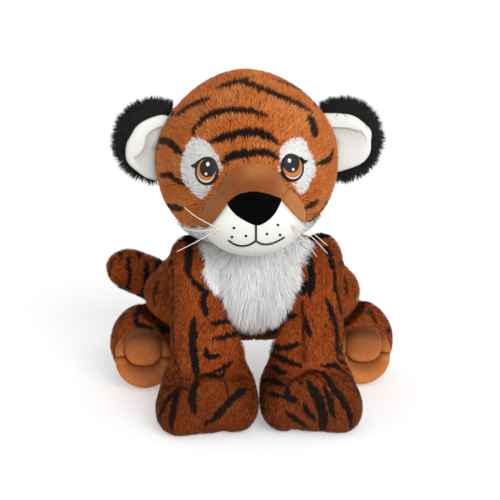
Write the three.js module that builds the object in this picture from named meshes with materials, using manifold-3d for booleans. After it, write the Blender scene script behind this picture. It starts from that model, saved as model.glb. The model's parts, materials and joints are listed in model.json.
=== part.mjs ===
// Plush tiger sitting on its four feet. Millimetres, +Z up, face towards -Y.
// A furry fabric cover is sewn over stuffing for the torso, the head, each leg and the tail,
// and every limb turns in the soft seam where it is sewn on.
import * as THREE from 'three';
import { mergeVertices } from 'three/addons/utils/BufferGeometryUtils.js';
import Module from 'manifold-3d';

const wasm = await Module();
wasm.setup();

// Fabric, seams and mesh fineness
const FABRIC = 2.2;
const PANEL = 1.8;
const SEAM_GAP = 0.3;
const TURN_GAP = 0.8;
const FLOOR_CUT = 0.5;
const OVERRUN = 150;
const BALL_SIDES = 18;
const BALL_RINGS = 11;
const SMALL_SIDES = 12;
const SMALL_RINGS = 8;
const TINY_SIDES = 10;
const TINY_RINGS = 6;
const PAD_SIDES = 8;
const PAD_RINGS = 5;
const LIMB_SIDES = 12;
const LIMB_RINGS = 8;
const OUTLINE_STEPS = 16;
const SWEEP_STEPS = 4;
const LINING_SWEEP_STEPS = 2;
const CAP_SHARE = 0.16;

// Belly, the lower half of the torso
const BELLY_HALF_WIDTH = 100;
const BELLY_HALF_DEPTH = 56;
const BELLY_HALF_HEIGHT = 42;
const BELLY_CLEARANCE = 46;
const BELLY_BACK = 28;
const BELLY_FULLNESS_SHARE = 2.1;

// Chest, the upper half of the torso, whose top is the neck that the head sits on
const CHEST_HALF_WIDTH = 56;
const CHEST_HALF_DEPTH = 43;
const CHEST_HALF_HEIGHT = 54;
const CHEST_LEAD = 44;
const CHEST_RISE = 28;
const NECK_MOUTH = 22;

// Back, which slopes from the belly's sides up to the shoulders
const BACK_HALF_WIDTH = 80;
const BACK_HALF_DEPTH = 48;
const BACK_HALF_HEIGHT = 42;
const BACK_LAG = 6;
const BACK_RISE = 18;

// Bag of plastic pellets that weighs the rump down
const POUCH_HALF_WIDTH = 52;
const POUCH_HALF_DEPTH = 34;
const POUCH_HALF_HEIGHT = 17;

// White long-pile bib on the chest
const BIB_HALF_WIDTH = 39;
const BIB_TIP_HEIGHT = 66;
const BIB_LENGTH = 84;
const BIB_THICKNESS = 3.4;
const BIB_WRAP = 14;
const BIB_SIDE_SHARES = [[1, 1], [1, 0.66], [0.93, 0.5], [0.64, 0.33], [0.33, 0.17], [0, 0]];

// Head
const HEAD_HALF_WIDTH = 79.5;
const HEAD_HALF_DEPTH = 66;
const CROWN_HEIGHT = 77;
const CROWN_FULLNESS_SHARE = 1.8;
const JOWL_HEIGHT = 76;
const JOWL_FULLNESS_SHARE = 2.3;
const HEAD_SHIFT = -7.5;
const HEAD_FRONT = 20;
const HEAD_RISE = 56;
const HEAD_YAW_DEG = 1;
const HEAD_ROLL_DEG = 2.5;
const HEAD_TURN_DEG = 18;

// White ruff under the cheeks
const RUFF_THICKNESS = 3.6;
const RUFF_TOP = 50;
const RUFF_DEPTH = 13;

// Muzzle: a wide snout with a narrower bridge running up between the eyes
const SNOUT_HALF_WIDTH = 44;
const SNOUT_HALF_DEPTH = 38;
const SNOUT_HALF_HEIGHT = 32;
const SNOUT_DROP = 40;
const SNOUT_FRONT = 61;
const BRIDGE_HALF_WIDTH = 27;
const BRIDGE_HALF_DEPTH = 29;
const BRIDGE_HALF_HEIGHT = 25;
const BRIDGE_DROP = 17;
const CHIN_CORNER_SPREAD = 22.5;
const CHIN_CORNER_DROP = 21;
const CHIN_SIDE_DROP = 48;

// Nose
const NOSE_HALF_WIDTH = 22.5;
const NOSE_TOP_DROP = 10;
const NOSE_HEIGHT = 29;
const NOSE_THICKNESS = 3;
const NOSE_SIDE_SHARES = [[0, 0], [0.4, 0.03], [0.85, 0.2], [1, 0.38], [0.9, 0.5], [0.55, 0.84], [0.2, 1]];

// Eyes: a white felt patch each, with a domed embroidered eye on it
const EYE_SPREAD = 35;
const EYE_RISE = 3.5;
const PATCH_HALF_WIDTH = 16.5;
const PATCH_HALF_HEIGHT = 24;
const PATCH_SPREAD = 39;
const PATCH_RISE = 2;
const PATCH_SHARES = [
  [0.24, 1], [-0.28, 0.89], [-0.72, 0.64], [-0.88, 0.23], [-1, 0], [-0.51, -0.44],
  [0.06, -0.98], [0.48, -0.81], [0.83, -0.46], [0.98, -0.08], [0.85, 0.33], [0.56, 0.73],
];
const EYE_HALF_WIDTH = 10;
const EYE_HALF_HEIGHT = 12;
const EYE_THICKNESS = 1.2;

// Whiskers: three stiff ivory threads a side
const WHISKER_RADIUS = 0.6;
const WHISKER_KNOT = 1.7;
const WHISKER_SPREAD = 28.5;
const WHISKER_DROP = 43;
const WHISKER_SIDES = 6;
const WHISKER_STEPS = 4;
const WHISKER_REACH = 32;
const WHISKER_SWEEP_SHARE = 0.2;
const WHISKER_LIFT_SHARES = [0.55, 0.04, -0.62];
const WHISKER_BOW_SHARES = [0.16, -0.1, -0.05];

// Ears: a black plush back and a white velour front
const EAR_HALF_WIDTH = 36.5;
const EAR_HALF_HEIGHT = 38.5;
const EAR_HALF_DEPTH = 7;
const EAR_SPREAD = 86.3;
const EAR_RISE = 14.3;
const EAR_STEP = 3.5;
const EAR_BACK = 12;
const EAR_RIM = 6;
const EAR_DISH_SHARE = 0.6;
const EAR_DISH_DEPTH = 3.6;
const EAR_ROOT_SPREAD = 73;
const EAR_LEAN_DEG = 10;
const EAR_FOLD_DEG = 15;

// Front legs
const SHOULDER_SPREAD = 53;
const SHOULDER_FRONT = 30;
const SHOULDER_RISE = 11.5;
const SHOULDER_HALF_WIDTH = 24;
const SHOULDER_HALF_DEPTH = 23;
const SHOULDER_TOP = 16;
const SHOULDER_MOUTH = 14;
const LEG_SPREAD = 44;
const LEG_FRONT = 49;
const LEG_HALF_WIDTH = 31;
const LEG_HALF_DEPTH = 27;
const LEG_MIDDLE_HEIGHT = 84;
const ANKLE_HEIGHT = 42;
const ANKLE_FRONT = 55;
const ANKLE_HALF_WIDTH = 30;
const ANKLE_HALF_DEPTH = 28;
const LEG_FORWARD_DEG = 25;
const LEG_BACK_DEG = 4;
const PAW_HALF_WIDTH = 42;
const PAW_HALF_LENGTH = 43;
const PAW_HALF_HEIGHT = 26;
const PAW_FRONT = 70;
const PAW_FULLNESS_SHARE = 2.35;
const TOE_HALF_WIDTH = 17;
const TOE_HALF_LENGTH = 24;
const TOE_HALF_HEIGHT = 20;
const TOE_SPACING = 25;
const TOE_FRONT = 91;
const KNUCKLE_RADIUS = 16;
const KNUCKLE_HEIGHT = 33;

// Hind legs
const HIP_SPREAD = 60;
const HIP_BACK = 52;
const HIP_HEIGHT = 62;
const HIP_MOUTH = 16;
const THIGH_HALF_WIDTH = 37;
const THIGH_HALF_DEPTH = 37;
const THIGH_HALF_HEIGHT = 41;
const THIGH_SPREAD = 75;
const THIGH_BACK = 50;
const FOOT_HALF_WIDTH = 35;
const FOOT_HALF_DEPTH = 33;
const FOOT_HALF_HEIGHT = 38.5;
const FOOT_SPREAD = 99;
const FOOT_BACK = 34;
const FOOT_FULLNESS_SHARE = 2.3;
const HIND_OUT_DEG = 18;
const HIND_IN_DEG = 4;

// Soles of the hind feet, with stuffed pads
const SOLE_HALF_WIDTH = 27;
const SOLE_HALF_HEIGHT = 29;
const SOLE_SPREAD = 102;
const SOLE_HEIGHT = 31;
const PAD_BULGE = 4.5;
const MAIN_PAD_HALF_WIDTH = 15;
const MAIN_PAD_HALF_HEIGHT = 14;
const MAIN_PAD_RISE = 12;
const TOE_PAD_RADIUS = 6.5;
const SIDE_PAD_STEP = 5.5;
const SIDE_PAD_DROP = 3;
const LONG_PAD_SHARES = [[-1, 0.1], [-0.72, 0.62], [0, 0.95], [0.72, 0.62], [1, 0.1]];

// Tail
const TAIL_ROOT_RADIUS = 17;
const TAIL_ROOT_DEPTH = 9;
const TAIL_MOUTH = 11;
const TAIL_RADIUS = 21;
const TAIL_TIP_RADIUS = 19;
const TAIL_ROOT_HEIGHT = 70;
const TAIL_BEND_REACH = 72;
const TAIL_BEND_BACK = 45.2;
const TAIL_BEND_RISE = -4;
const TAIL_TIP_REACH = 138;
const TAIL_TIP_BACK = 32;
const TAIL_TIP_RISE = 28;
const TAIL_SWING_SHARE = 0.35;
const TAIL_AWAY_DEG = 20;
const TAIL_TOWARDS_DEG = 4;

const LEFT = -1;
const RIGHT = 1;
const X_AXIS = new THREE.Vector3(1, 0, 0);
const Y_AXIS = new THREE.Vector3(0, 1, 0);
const Z_AXIS = new THREE.Vector3(0, 0, 1);

const bellyCentre = new THREE.Vector3(0, BELLY_BACK, BELLY_CLEARANCE + BELLY_HALF_HEIGHT);
const chestCentre = new THREE.Vector3(0, bellyCentre.y - CHEST_LEAD, bellyCentre.z + CHEST_RISE);
const neckTop = new THREE.Vector3(0, chestCentre.y, chestCentre.z + CHEST_HALF_HEIGHT);
const headCentre = new THREE.Vector3(HEAD_SHIFT, -HEAD_FRONT, neckTop.z + HEAD_RISE);

const orange = new THREE.MeshStandardMaterial({ color: '#b5602a', roughness: 0.95, metalness: 0 });
const white = new THREE.MeshStandardMaterial({ color: '#e8ebe7', roughness: 0.95, metalness: 0 });
const black = new THREE.MeshStandardMaterial({ color: '#0b0b0c', roughness: 0.9, metalness: 0 });
const tan = new THREE.MeshStandardMaterial({ color: '#b87340', roughness: 0.9, metalness: 0 });
const stuffing = new THREE.MeshStandardMaterial({ color: '#f1efe9', roughness: 1, metalness: 0 });
const pellets = new THREE.MeshStandardMaterial({ color: '#d8d4c8', roughness: 0.8, metalness: 0 });
const thread = new THREE.MeshStandardMaterial({ color: '#f2e8dc', roughness: 0.7, metalness: 0 });

// Closed solid of a geometry whose shared vertices are merged
function solidOf(geometry) {
  const bare = new THREE.BufferGeometry();
  bare.setAttribute('position', geometry.getAttribute('position'));
  bare.setIndex(geometry.getIndex());
  const merged = mergeVertices(bare);
  const vertProperties = new Float32Array(merged.getAttribute('position').array);
  const triVerts = new Uint32Array(merged.getIndex().array);
  return new wasm.Manifold(new wasm.Mesh({ numProp: 3, vertProperties, triVerts }));
}

function joined(solids) {
  return wasm.Manifold.union(solids);
}

// Solid of several forms, all grown outwards by the same distance, or shrunk by a negative one
function grownSolid(forms, growth) {
  return joined(forms.map((form) => solidOf(form(growth))));
}

// Ellipsoid of stuffing, fuller than an ellipsoid where its fullness is above 2
function ballForm(centre, radii, fullness = 2, sides = BALL_SIDES, rings = BALL_RINGS) {
  return (growth) => {
    const geometry = new THREE.SphereGeometry(1, sides, rings).rotateX(Math.PI / 2);
    const positions = geometry.getAttribute('position');
    const direction = new THREE.Vector3();
    for (let index = 0; index < positions.count; index += 1) {
      direction.fromBufferAttribute(positions, index);
      const powers = direction.toArray().map((value) => Math.abs(value) ** fullness);
      const reach = (powers[0] + powers[1] + powers[2]) ** (-1 / fullness);
      const slopes = direction.toArray().map((value) => value * Math.abs(value) ** (fullness - 2));
      const normal = new THREE.Vector3(...slopes).divide(radii).normalize();
      direction.multiply(radii).multiplyScalar(reach).addScaledVector(normal, growth).add(centre);
      positions.setXYZ(index, direction.x, direction.y, direction.z);
    }
    return geometry;
  };
}

// Upright egg about the origin, whose top and bottom halves differ in height and fullness
function eggForm(topRadii, topFullness, bottomRadii, bottomFullness) {
  return (growth) => {
    const geometry = new THREE.SphereGeometry(1, BALL_SIDES, BALL_RINGS).rotateX(Math.PI / 2);
    const positions = geometry.getAttribute('position');
    const direction = new THREE.Vector3();
    for (let index = 0; index < positions.count; index += 1) {
      direction.fromBufferAttribute(positions, index);
      const isTop = direction.z > 0;
      const fullness = isTop ? topFullness : bottomFullness;
      const radii = isTop ? topRadii : bottomRadii;
      const flat = Math.hypot(direction.x, direction.y);
      const steep = Math.abs(direction.z);
      const reach = (flat ** fullness + steep ** fullness) ** (-1 / fullness);
      const flatSlope = Math.max(flat, Number.EPSILON) ** (fullness - 2);
      const steepSlope = Math.max(steep, Number.EPSILON) ** (fullness - 2);
      const normal = direction.clone()
        .multiply(new THREE.Vector3(flatSlope, flatSlope, steepSlope))
        .divide(radii)
        .normalize();
      direction.multiply(radii).multiplyScalar(reach).addScaledVector(normal, growth);
      positions.setXYZ(index, direction.x, direction.y, direction.z);
    }
    return geometry;
  };
}

function smallBall(centre, radii, fullness = 2) {
  return ballForm(centre, radii, fullness, SMALL_SIDES, SMALL_RINGS);
}

function tinyBall(centre, radii) {
  return ballForm(centre, radii, 2, TINY_SIDES, TINY_RINGS);
}

function padBall(centre, radii) {
  return ballForm(centre, radii, 2, PAD_SIDES, PAD_RINGS);
}

// Stuffed limb along a spine. Each station is a point with its half width and half depth,
// and both ends close in a round cap over a share of the length.
function limbForm(stations, capShare, across = X_AXIS, sides = LIMB_SIDES, rings = LIMB_RINGS) {
  const spine = new THREE.CatmullRomCurve3(stations.map((station) => station.at));
  const girth = new THREE.CatmullRomCurve3(
    stations.map((station) => new THREE.Vector3(station.halfWidth, station.halfDepth, 0)),
  );
  return (growth) => {
    const vertices = [];
    const triangles = [];
    for (let ring = 0; ring <= rings; ring += 1) {
      const along = (1 - Math.cos((Math.PI * ring) / rings)) / 2;
      const ahead = Math.max(0, (along - 1 + capShare) / capShare);
      const behind = Math.max(0, (capShare - along) / capShare);
      const narrowing = Math.sqrt(Math.max(0, 1 - Math.max(ahead, behind) ** 2));
      const tangent = spine.getTangent(along);
      const centre = spine.getPoint(along).addScaledVector(tangent, growth * (ahead - behind));
      const size = girth.getPoint(along).addScalar(growth).multiplyScalar(narrowing);
      const depthways = new THREE.Vector3().crossVectors(tangent, across).normalize();
      const sideways = new THREE.Vector3().crossVectors(depthways, tangent).normalize();
      if (ring === 0 || ring === rings) {
        vertices.push(centre);
      } else {
        for (let side = 0; side < sides; side += 1) {
          const angle = (2 * Math.PI * side) / sides;
          const point = centre.clone().addScaledVector(sideways, size.x * Math.cos(angle));
          vertices.push(point.addScaledVector(depthways, size.y * Math.sin(angle)));
        }
      }
    }
    const last = vertices.length - 1;
    for (let side = 0; side < sides; side += 1) {
      const next = (side + 1) % sides;
      triangles.push(0, 1 + next, 1 + side);
      triangles.push(last, last - sides + side, last - sides + next);
      for (let ring = 0; ring < rings - 2; ring += 1) {
        const low = 1 + ring * sides;
        const high = low + sides;
        triangles.push(low + side, low + next, high + next);
        triangles.push(low + side, high + next, high + side);
      }
    }
    const geometry = new THREE.BufferGeometry().setFromPoints(vertices);
    geometry.setIndex(triangles);
    return geometry;
  };
}

// The same form, moved and turned
function posed(form, matrix) {
  return (growth) => form(growth).applyMatrix4(matrix);
}

// Straight prism along Y over an outline of X and Z points
function prismForm(points, fromY, toY) {
  const options = { depth: toY - fromY, bevelEnabled: false, steps: 1 };
  return () => new THREE.ExtrudeGeometry(new THREE.Shape(points), options)
    .rotateX(Math.PI / 2)
    .translate(0, toY, 0);
}

function ellipsePoints(x, z, halfWidth, halfHeight, count = OUTLINE_STEPS) {
  return new THREE.EllipseCurve(x, z, halfWidth, halfHeight).getPoints(count).slice(0, -1);
}

function rectanglePoints(lowX, highX, lowZ, highZ) {
  return [[lowX, lowZ], [highX, lowZ], [highX, highZ], [lowX, highZ]].map((p) => new THREE.Vector2(...p));
}

// Outline points from shares of a half width and a height, mirrored about X = 0
function mirroredPoints(shares, halfWidth, height, bottom) {
  const right = shares.map((share) => new THREE.Vector2(share[0] * halfWidth, bottom + share[1] * height));
  const left = right.filter((point) => point.x !== 0).map((point) => new THREE.Vector2(-point.x, point.y));
  return right.concat(left.reverse());
}

function turnAbout(pivot, axis, degrees) {
  const turn = new THREE.Matrix4().makeRotationAxis(axis, THREE.MathUtils.degToRad(degrees));
  const there = new THREE.Matrix4().makeTranslation(pivot);
  const back = new THREE.Matrix4().makeTranslation(pivot.clone().negate());
  return there.multiply(turn).multiply(back);
}

// The same joint, seen from the piece that carries it
function reversed(joint) {
  return { ...joint, fromDegrees: -joint.toDegrees, toDegrees: -joint.fromDegrees };
}

// Room that forms sweep through, seen from a piece that turns beside them about its joint
function sweptSolid(forms, growth, joint, steps = SWEEP_STEPS) {
  const solids = [];
  for (let step = 0; step <= steps; step += 1) {
    const degrees = THREE.MathUtils.lerp(-joint.toDegrees, -joint.fromDegrees, step / steps);
    const turn = turnAbout(joint.pivot, joint.axis, degrees);
    forms.forEach((form) => solids.push(solidOf(posed(form, turn)(growth))));
  }
  return joined(solids);
}

// Everything below the floor, which presses each foot flat
function floorSolid(growth) {
  const slab = prismForm(rectanglePoints(-OVERRUN, OVERRUN, -OVERRUN, growth), -OVERRUN, OVERRUN);
  return solidOf(slab());
}

const toy = new THREE.Group();

// Group with a pose given in the toy's frame
function addGroup(parent, pose = new THREE.Matrix4()) {
  const group = new THREE.Group();
  parent.updateWorldMatrix(true, false);
  group.applyMatrix4(parent.matrixWorld.clone().invert().multiply(pose));
  parent.add(group);
  group.updateWorldMatrix(true, false);
  return group;
}

// Hangs a solid, given in the toy's frame, in its group
function addPiece(group, name, solid, material) {
  const mesh = solid.getMesh();
  const geometry = new THREE.BufferGeometry();
  geometry.setAttribute('position', new THREE.BufferAttribute(mesh.vertProperties, 3));
  geometry.setIndex(new THREE.BufferAttribute(mesh.triVerts, 1));
  geometry.applyMatrix4(group.matrixWorld.clone().invert());
  const piece = new THREE.Mesh(geometry, material);
  piece.name = name;
  group.add(piece);
}

function sideName(name, side) {
  return side === LEFT ? `${name}_left` : `${name}_right`;
}

function placed(vector) {
  return new THREE.Matrix4().makeTranslation(vector);
}

function turned(axis, degrees) {
  return new THREE.Matrix4().makeRotationAxis(axis, THREE.MathUtils.degToRad(degrees));
}

function evenRadii(radius) {
  return new THREE.Vector3(radius, radius, radius);
}

// Torso: belly, chest and neck swell into each other
const bellyForm = ballForm(
  bellyCentre,
  new THREE.Vector3(BELLY_HALF_WIDTH, BELLY_HALF_DEPTH, BELLY_HALF_HEIGHT),
  BELLY_FULLNESS_SHARE,
);
const chestForm = ballForm(
  chestCentre,
  new THREE.Vector3(CHEST_HALF_WIDTH, CHEST_HALF_DEPTH, CHEST_HALF_HEIGHT),
);
const backForm = ballForm(
  bellyCentre.clone().add(new THREE.Vector3(0, BACK_LAG, BACK_RISE)),
  new THREE.Vector3(BACK_HALF_WIDTH, BACK_HALF_DEPTH, BACK_HALF_HEIGHT),
);
const torsoForms = [bellyForm, chestForm, backForm];

function shoulderCentre(side) {
  return new THREE.Vector3(side * SHOULDER_SPREAD, -SHOULDER_FRONT, chestCentre.z + SHOULDER_RISE);
}

function hipCentre(side) {
  return new THREE.Vector3(side * HIP_SPREAD, HIP_BACK, HIP_HEIGHT);
}

const tailRoot = new THREE.Vector3(0, BELLY_BACK + BELLY_HALF_DEPTH - TAIL_ROOT_DEPTH, TAIL_ROOT_HEIGHT);

// Joints of the sewn seams, each with the room that its piece turns through
const headJoint = { pivot: neckTop, axis: Z_AXIS, fromDegrees: -HEAD_TURN_DEG, toDegrees: HEAD_TURN_DEG };

function frontLegJoint(side) {
  const axis = X_AXIS.clone().negate();
  return { pivot: shoulderCentre(side), axis, fromDegrees: -LEG_BACK_DEG, toDegrees: LEG_FORWARD_DEG };
}

function hindLegJoint(side) {
  const axis = Z_AXIS.clone().multiplyScalar(side);
  return { pivot: hipCentre(side), axis, fromDegrees: -HIND_IN_DEG, toDegrees: HIND_OUT_DEG };
}

const tailJoint = {
  pivot: tailRoot,
  axis: Z_AXIS.clone().negate(),
  fromDegrees: -TAIL_TOWARDS_DEG,
  toDegrees: TAIL_AWAY_DEG,
};

// Head: skull, snout and bridge of the muzzle, in the pose that the head leans in
const headPose = placed(headCentre)
  .multiply(turned(Z_AXIS, HEAD_YAW_DEG))
  .multiply(turned(Y_AXIS, -HEAD_ROLL_DEG));
const skullForm = posed(
  eggForm(
    new THREE.Vector3(HEAD_HALF_WIDTH, HEAD_HALF_DEPTH, CROWN_HEIGHT),
    CROWN_FULLNESS_SHARE,
    new THREE.Vector3(HEAD_HALF_WIDTH, HEAD_HALF_DEPTH, JOWL_HEIGHT),
    JOWL_FULLNESS_SHARE,
  ),
  headPose,
);
const snoutForm = posed(
  smallBall(
    new THREE.Vector3(0, -SNOUT_FRONT, -SNOUT_DROP),
    new THREE.Vector3(SNOUT_HALF_WIDTH, SNOUT_HALF_DEPTH, SNOUT_HALF_HEIGHT),
  ),
  headPose,
);
const bridgeForm = posed(
  smallBall(
    new THREE.Vector3(0, -SNOUT_FRONT, -BRIDGE_DROP),
    new THREE.Vector3(BRIDGE_HALF_WIDTH, BRIDGE_HALF_DEPTH, BRIDGE_HALF_HEIGHT),
  ),
  headPose,
);
const muzzleForms = [snoutForm, bridgeForm];

// Stuffed column of a front leg, from the shoulder down to the paw
function legColumnForm(side) {
  const shoulder = shoulderCentre(side);
  const legX = side * LEG_SPREAD;
  return limbForm([
    { at: new THREE.Vector3(shoulder.x, shoulder.y, shoulder.z + SHOULDER_TOP),
      halfWidth: SHOULDER_HALF_WIDTH, halfDepth: SHOULDER_HALF_DEPTH },
    { at: new THREE.Vector3((shoulder.x + legX) / 2, -(SHOULDER_FRONT + LEG_FRONT) / 2, shoulder.z),
      halfWidth: (SHOULDER_HALF_WIDTH + LEG_HALF_WIDTH) / 2,
      halfDepth: (SHOULDER_HALF_DEPTH + LEG_HALF_DEPTH) / 2 },
    { at: new THREE.Vector3(legX, -LEG_FRONT, LEG_MIDDLE_HEIGHT),
      halfWidth: LEG_HALF_WIDTH, halfDepth: LEG_HALF_DEPTH },
    { at: new THREE.Vector3(legX, -ANKLE_FRONT, ANKLE_HEIGHT),
      halfWidth: ANKLE_HALF_WIDTH, halfDepth: ANKLE_HALF_DEPTH },
    { at: new THREE.Vector3(legX, -ANKLE_FRONT, FABRIC),
      halfWidth: ANKLE_HALF_WIDTH, halfDepth: ANKLE_HALF_DEPTH },
  ], CAP_SHARE);
}

// Front leg: the column over a paw with three toes and a round knuckle above the middle one
function frontLegForms(side) {
  const legX = side * LEG_SPREAD;
  const paw = ballForm(
    new THREE.Vector3(legX, -PAW_FRONT, PAW_HALF_HEIGHT - FLOOR_CUT),
    new THREE.Vector3(PAW_HALF_WIDTH, PAW_HALF_LENGTH, PAW_HALF_HEIGHT),
    PAW_FULLNESS_SHARE,
    SMALL_SIDES,
    SMALL_RINGS,
  );
  const toes = [-TOE_SPACING, 0, TOE_SPACING].map((step) => tinyBall(
    new THREE.Vector3(legX + step, -TOE_FRONT, TOE_HALF_HEIGHT - FLOOR_CUT),
    new THREE.Vector3(TOE_HALF_WIDTH, TOE_HALF_LENGTH, TOE_HALF_HEIGHT),
  ));
  const knuckle = tinyBall(new THREE.Vector3(legX, -TOE_FRONT, KNUCKLE_HEIGHT), evenRadii(KNUCKLE_RADIUS));
  return [legColumnForm(side), paw, knuckle, ...toes];
}

// Hind leg: a foot with its sole to the front, and a thigh that carries the belly's side
function footForm(side) {
  return ballForm(
    new THREE.Vector3(side * FOOT_SPREAD, FOOT_BACK, FOOT_HALF_HEIGHT - FLOOR_CUT),
    new THREE.Vector3(FOOT_HALF_WIDTH, FOOT_HALF_DEPTH, FOOT_HALF_HEIGHT),
    FOOT_FULLNESS_SHARE,
    SMALL_SIDES,
    SMALL_RINGS,
  );
}

function hindLegForms(side) {
  const thigh = smallBall(
    new THREE.Vector3(side * THIGH_SPREAD, THIGH_BACK, THIGH_HALF_HEIGHT - FLOOR_CUT),
    new THREE.Vector3(THIGH_HALF_WIDTH, THIGH_HALF_DEPTH, THIGH_HALF_HEIGHT),
  );
  return [footForm(side), thigh];
}

const tailBend = new THREE.Vector3(-TAIL_BEND_REACH, TAIL_BEND_BACK, TAIL_BEND_RISE).add(tailRoot);
const tailTip = new THREE.Vector3(-TAIL_TIP_REACH, TAIL_TIP_BACK, TAIL_TIP_RISE).add(tailRoot);
const tailForm = limbForm([
  { at: tailRoot.clone().sub(new THREE.Vector3(0, TAIL_ROOT_RADIUS, 0)),
    halfWidth: TAIL_ROOT_RADIUS, halfDepth: TAIL_ROOT_RADIUS },
  { at: new THREE.Vector3(tailBend.x * TAIL_SWING_SHARE, (tailRoot.y + tailBend.y) / 2, tailRoot.z),
    halfWidth: TAIL_RADIUS, halfDepth: TAIL_RADIUS },
  { at: tailBend, halfWidth: TAIL_RADIUS, halfDepth: TAIL_RADIUS },
  { at: tailBend.clone().lerp(tailTip, 1 / 2), halfWidth: TAIL_RADIUS, halfDepth: TAIL_RADIUS },
  { at: tailTip, halfWidth: TAIL_TIP_RADIUS, halfDepth: TAIL_TIP_RADIUS },
], CAP_SHARE, Z_AXIS);

// Solid of a limb, cut by the room that the torso takes at every angle of its joint,
// and pressed flat by the floor
function limbSolid(limb, growth) {
  const isLining = growth < 0;
  const forms = isLining ? limb.forms.slice(0, limb.liningCount) : limb.forms;
  const steps = isLining ? LINING_SWEEP_STEPS : SWEEP_STEPS;
  return grownSolid(forms, growth)
    .subtract(sweptSolid(torsoForms, TURN_GAP - growth, limb.joint, steps))
    .subtract(floorSolid(-growth));
}

// Cover that is open where its limb is sewn on, over its filling
function addLimb(group, limb) {
  const mouth = grownSolid([tinyBall(limb.joint.pivot, evenRadii(limb.mouthRadius))], 0);
  const cover = limbSolid(limb, 0).subtract(limbSolid(limb, -FABRIC)).subtract(mouth);
  addPiece(group, limb.coverName, cover, orange);
  addPiece(group, limb.fillingName, limbSolid(limb, -FABRIC - SEAM_GAP), stuffing);
}

function addFrontLeg(side) {
  addLimb(addGroup(toy, placed(shoulderCentre(side))), {
    forms: frontLegForms(side),
    liningCount: 2,
    joint: frontLegJoint(side),
    mouthRadius: SHOULDER_MOUTH,
    coverName: sideName('front_leg_cover', side),
    fillingName: sideName('front_leg_filling', side),
  });
}

function addHindLeg(side) {
  const group = addGroup(toy, placed(hipCentre(side)));
  addLimb(group, {
    forms: hindLegForms(side),
    liningCount: 2,
    joint: hindLegJoint(side),
    mouthRadius: HIP_MOUTH,
    coverName: sideName('hind_leg_cover', side),
    fillingName: sideName('hind_leg_filling', side),
  });
  addPiece(group, sideName('sole', side), soleSolid(side), tan);
}

function addTail() {
  addLimb(addGroup(toy, placed(tailRoot)), {
    forms: [tailForm],
    liningCount: 1,
    joint: tailJoint,
    mouthRadius: TAIL_MOUTH,
    coverName: 'tail_cover',
    fillingName: 'tail_filling',
  });
}

// Point of the foot's front surface, at a place across and a height
function onFootFront(side, x, z) {
  const across = Math.abs((x - side * FOOT_SPREAD) / FOOT_HALF_WIDTH) ** FOOT_FULLNESS_SHARE;
  const up = Math.abs((z - FOOT_HALF_HEIGHT + FLOOR_CUT) / FOOT_HALF_HEIGHT) ** FOOT_FULLNESS_SHARE;
  const reach = FOOT_HALF_DEPTH * (1 - across - up) ** (1 / FOOT_FULLNESS_SHARE);
  return new THREE.Vector3(x, FOOT_BACK - reach, z);
}

// Sole: a velour panel on the front of the foot, with a main pad, two side pads
// and a long pad that curves round below them
function soleSolid(side) {
  const soleX = side * SOLE_SPREAD;
  const padHeight = SOLE_HEIGHT + MAIN_PAD_RISE;
  const outline = ellipsePoints(soleX, SOLE_HEIGHT, SOLE_HALF_WIDTH, SOLE_HALF_HEIGHT);
  const panel = solidOf(prismForm(outline, -OVERRUN, FOOT_BACK)());
  const foot = footForm(side);
  const mainPad = padBall(
    onFootFront(side, soleX, padHeight),
    new THREE.Vector3(MAIN_PAD_HALF_WIDTH, PAD_BULGE, MAIN_PAD_HALF_HEIGHT),
  );
  const sidePads = [LEFT, RIGHT].map((edge) => padBall(
    onFootFront(side, soleX + edge * (MAIN_PAD_HALF_WIDTH + SIDE_PAD_STEP), padHeight - SIDE_PAD_DROP),
    new THREE.Vector3(TOE_PAD_RADIUS, PAD_BULGE, MAIN_PAD_HALF_HEIGHT),
  ));
  const longPadReach = SOLE_HALF_WIDTH - TOE_PAD_RADIUS;
  const longPadDrop = SOLE_HALF_HEIGHT - TOE_PAD_RADIUS;
  const stations = LONG_PAD_SHARES.map((share) => ({
    at: onFootFront(side, soleX + share[0] * longPadReach, SOLE_HEIGHT - share[1] * longPadDrop),
    halfWidth: TOE_PAD_RADIUS,
    halfDepth: PAD_BULGE,
  }));
  const longPad = limbForm(stations, CAP_SHARE, Y_AXIS, SMALL_RINGS, SMALL_RINGS);
  return grownSolid([foot], SEAM_GAP + PANEL)
    .intersect(panel)
    .add(grownSolid([mainPad, ...sidePads, longPad], 0).subtract(floorSolid(FABRIC)))
    .subtract(grownSolid([foot], SEAM_GAP));
}

function pouchForm() {
  const rest = new THREE.Vector3(0, BELLY_BACK, BELLY_CLEARANCE + POUCH_HALF_HEIGHT);
  return tinyBall(rest, new THREE.Vector3(POUCH_HALF_WIDTH, POUCH_HALF_DEPTH, POUCH_HALF_HEIGHT));
}

// Bib: a panel over the chest, clear of the legs and the head wherever they turn
function bibSolid() {
  const points = mirroredPoints(BIB_SIDE_SHARES, BIB_HALF_WIDTH, BIB_LENGTH, BIB_TIP_HEIGHT);
  const outline = solidOf(prismForm(points, -OVERRUN, chestCentre.y - BIB_WRAP)());
  const legRoom = joined([LEFT, RIGHT].map(
    (side) => sweptSolid([legColumnForm(side)], TURN_GAP, reversed(frontLegJoint(side))),
  ));
  const headRoom = sweptSolid([skullForm, snoutForm], TURN_GAP, reversed(headJoint));
  return grownSolid(torsoForms, SEAM_GAP + BIB_THICKNESS)
    .intersect(outline)
    .subtract(grownSolid(torsoForms, SEAM_GAP))
    .subtract(legRoom)
    .subtract(headRoom);
}

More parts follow.
